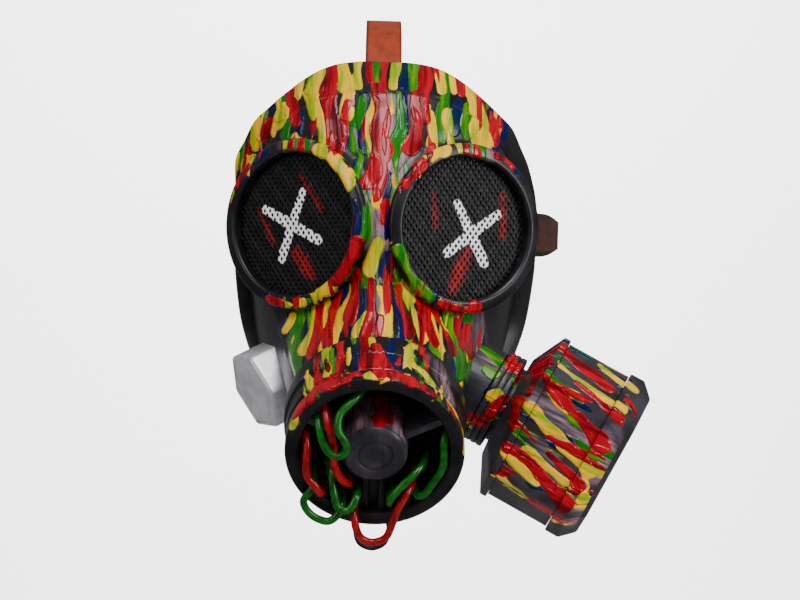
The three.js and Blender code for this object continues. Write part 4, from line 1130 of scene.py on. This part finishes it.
capValues = {"radius": 25, "depth": 14, "turn": 30, "cornerShift": 0, "rounding": 1.6, "step": 2.0}
capOutline = sixSided(capValues["radius"], capValues)
capRings = seatedBase(capPlace, capOutline, 0.8)
capSeat = capRings[-1][:, 2]
for share in (0.3, 0.6, 0.9):
    capRings.append(np.column_stack([capOutline, capSeat + (capValues["depth"] - 2 - capSeat) * share]))
# The front edge is rounded, and the face lies a little behind its rim
for scale, level in ((1.0, 12.2), (0.985, 13.2), (0.95, 14.0), (0.9, 14.0), (0.885, 13.4), (0.3, 13.4)):
    capRings.append(np.column_stack([capOutline * scale, np.full(len(capOutline), level)]))
cheekCap = loftRings("cheekCap", [toWorld(capPlace, ring) for ring in capRings], angle=30)
# Silver lacquer on ABS: a soft metallic sheen over fine orange peel, greyer where it is rubbed
silverLacquer = cloudedMaterial("silverLacquerAbs", (90, 5, {"Roughness": 0.65}),
                                ((0.36, "#aeadb3"), (0.6, "#cbcacf")), (0.42, 0.26),
                                (900, 1), (0.2, 0.0003), {"Metallic": 0.35})
useMaterial(cheekCap, silverLacquer)
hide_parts("cheek_cap")
print("canister and cap made")


strap = {"width": 21, "thickness": 2, "crown": 126, "back": 102, "tongueWidth": 26, "tongueReach": 17}
bandSide = face["halfWidth"] - face["wall"] - snout["gap"] - strap["thickness"] - 0.7
bandMiddle = shiftAt(0)


def bandSection(width):
    half, thickness = width / 2, strap["thickness"]
    return roundedProfile([(-half, 0), (half, 0), (half, thickness), (-half, thickness)], 0.7, 3.0)


def makeBand(name, route, axis, section, steps):
    path = smoothPath(route, steps)
    band = loftRings(name, sweepRings(path, section, axis), angle=40)
    points = pointsOf(band)
    nearest = np.array([np.argmin(np.sum((path - p) ** 2, axis=1)) for p in points])
    writeValues(band, "across", np.abs((points - path[nearest]) @ unit(axis)) / (strap["width"] / 2))
    return band


def strapLeather(name, hexText, darkHex, edgeHex):
    # Split leather strap: fine pebble of 1 mm, darker burnished edges and long creases
    material = newMaterial(name)
    place = placeOf(material)
    pebble = addNode(material, "ShaderNodeTexVoronoi", {"Vector": place, "Scale": 1000.0}).outputs["Distance"]
    creases = noiseOf(material, place, 140, 5, {"Roughness": 0.7})
    colour = rampOf(material, creases, (0.32, darkHex), (0.6, hexText))
    edge = rangeOf(material, attributeOf(material, "across"), 0.82, 0.98)
    fine = bumpOf(material, pebble, 0.35, 0.0003)
    return finishMaterial(material, {
        "Base Color": mixOf(material, edge, colour, linearColour(edgeHex)),
        "Roughness": rangeOf(material, creases, 0, 1, 0.85, 0.62), "IOR": 1.48,
        "Normal": bumpOf(material, creases, 0.4, 0.0008, Normal=fine)})


tanLeather = strapLeather("tanSplitLeather", "#9c3206", "#7c2604", "#421203")
# The tongue's leather is the tan strap leather made much darker: painted shade, as the tongue lies in shadow by the
# temple
shadedTanLeather = strapLeather("tanLeatherPaintedShade", "#421607", "#260c04", "#120603")
sideRoute = [
    (bandSide, -15.6, 0), (bandSide, -8, 0), (bandSide, 0, 0), (0.94 * bandSide, 35, 0), (0.73 * bandSide, 72, 0),
    (0.38 * bandSide, strap["back"] - 7, 0), (0.62 * strap["width"], strap["back"], 0), (0, strap["back"], 0),
]
backRoute = [(x + bandMiddle, y, z) for x, y, z in sideRoute]
backRoute += [(bandMiddle - x, y, z) for x, y, z in sideRoute[-2::-1]]
backStrap = makeBand("backStrap", backRoute, (0, 0, 1), bandSection(strap["width"]), 120)
useMaterial(backStrap, tanLeather)
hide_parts("back_strap")
crown = strap["crown"]
topRoute = [
    (0, -62, 79), (0, -53, 92.5), (0, -40, crown - 19), (0, -20, crown - 7), (0, 12, crown), (0, 52, crown - 13),
    (1, 84, crown - 48), (bandMiddle, strap["back"] - 5, 34), (bandMiddle, strap["back"] - 2.6, 13),
    (bandMiddle, strap["back"] - 2.3, 0), (bandMiddle, strap["back"] - 2.3, -strap["width"] / 2),
]
topStrap = makeBand("topStrap", topRoute, (-1, 0, 0), bandSection(strap["width"]), 110)
useMaterial(topStrap, tanLeather)
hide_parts("top_strap")
root = bandMiddle + bandSide + strap["thickness"] + snout["gap"]
reach = strap["tongueReach"]
tongueRoute = [
    (root, -9, 0), (root + 0.4 * reach, -9.5, 0), (root + 0.85 * reach, -8, 0), (root + reach, -4.5, 0),
    (root + 0.85 * reach, -1.2, 0), (root + 0.4 * reach, 0, 0), (root, 0, 0),
]


def tongueSection(share):
    # Narrower round the fold
    return bandSection(strap["tongueWidth"] * (1 - 0.34 * math.sin(share * math.pi) ** 6))


tongue = makeBand("strapTongue", tongueRoute, (0, 0, -1), tongueSection, 60)
useMaterial(tongue, shadedTanLeather)
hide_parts("strap_tongue")
print("straps made")


stageValues = {"floor": -0.75, "wall": 3.2, "curve": 0.9, "halfWidth": 4, "height": 3.4}


def makeStage(values):
    bm = bmesh.new()
    bend = values["wall"] - values["curve"]
    profile = [(-values["wall"], values["floor"]), (bend, values["floor"])]
    profile += [(bend + values["curve"] * math.sin(a), values["floor"] + values["curve"] * (1 - math.cos(a)))
                for a in np.linspace(0.1, math.pi / 2, 14)]
    profile += [(values["wall"], values["height"])]
    verts = [bm.verts.new((-values["halfWidth"], y, z)) for y, z in profile]
    edges = [bm.edges.new(pair) for pair in zip(verts, verts[1:])]
    grown = bmesh.ops.extrude_edge_only(bm, edges=edges)["geom"]
    bmesh.ops.translate(bm, vec=Vector((2 * values["halfWidth"], 0, 0)),
                        verts=[g for g in grown if isinstance(g, bmesh.types.BMVert)])
    bmesh.ops.recalc_face_normals(bm, faces=bm.faces)
    mesh = bpy.data.meshes.new("paleSweep")
    bm.to_mesh(mesh)
    bm.free()
    mesh.shade_smooth()
    sweep = bpy.data.objects.new("paleSweep", mesh)
    bpy.context.scene.collection.objects.link(sweep)
    # The paper lights the mask but isn't mirrored in it, as if flagged off with black card
    sweep.visible_glossy = False
    # Matt off-white paper
    inputs = {"Base Color": linearColour("#f4f3f5"), "Roughness": 0.9}
    mesh.materials.append(finishMaterial(newMaterial("palePaper"), inputs))


def areaLight(name, place, target, size, power, sizeY=None):
    data = bpy.data.lights.new(name, "AREA")
    data.shape = "RECTANGLE"
    data.size, data.size_y = size, sizeY or size
    data.energy = power
    lamp = bpy.data.objects.new(name, data)
    lamp.location = place
    lamp.rotation_mode = "QUATERNION"
    lamp.rotation_quaternion = (Vector(target) - Vector(place)).to_track_quat("-Z", "Y")
    bpy.context.scene.collection.objects.link(lamp)


def makeWorld():
    world = bpy.data.worlds.new("studio")
    world.use_nodes = True
    background = world.node_tree.nodes["Background"].inputs
    background["Color"].default_value = (1, 1, 1, 1)
    background["Strength"].default_value = 0.2
    bpy.context.scene.world = world


makeStage(stageValues)
makeWorld()
areaLight("topSoftbox", (0.12, -0.72, 0.85), (0, -0.08, 0), 0.5, 10)
areaLight("leftSoftbox", (-0.95, -0.9, 0.45), (0, -0.05, -0.03), 0.16, 3.8, sizeY=0.7)
areaLight("rightSoftbox", (1.0, -0.7, 0.2), (0, -0.05, -0.05), 0.16, 7.5, sizeY=0.7)
areaLight("frontFill", (0.4, -1.4, 0.95), (0, 0, -0.03), 0.25, 4.0)
# This one stands behind the mask and faces away from it
areaLight("backWash", (0, 0.5, 1.4), (0, 3.2, 1.0), 2.4, 420, sizeY=1.2)
print("stage made")
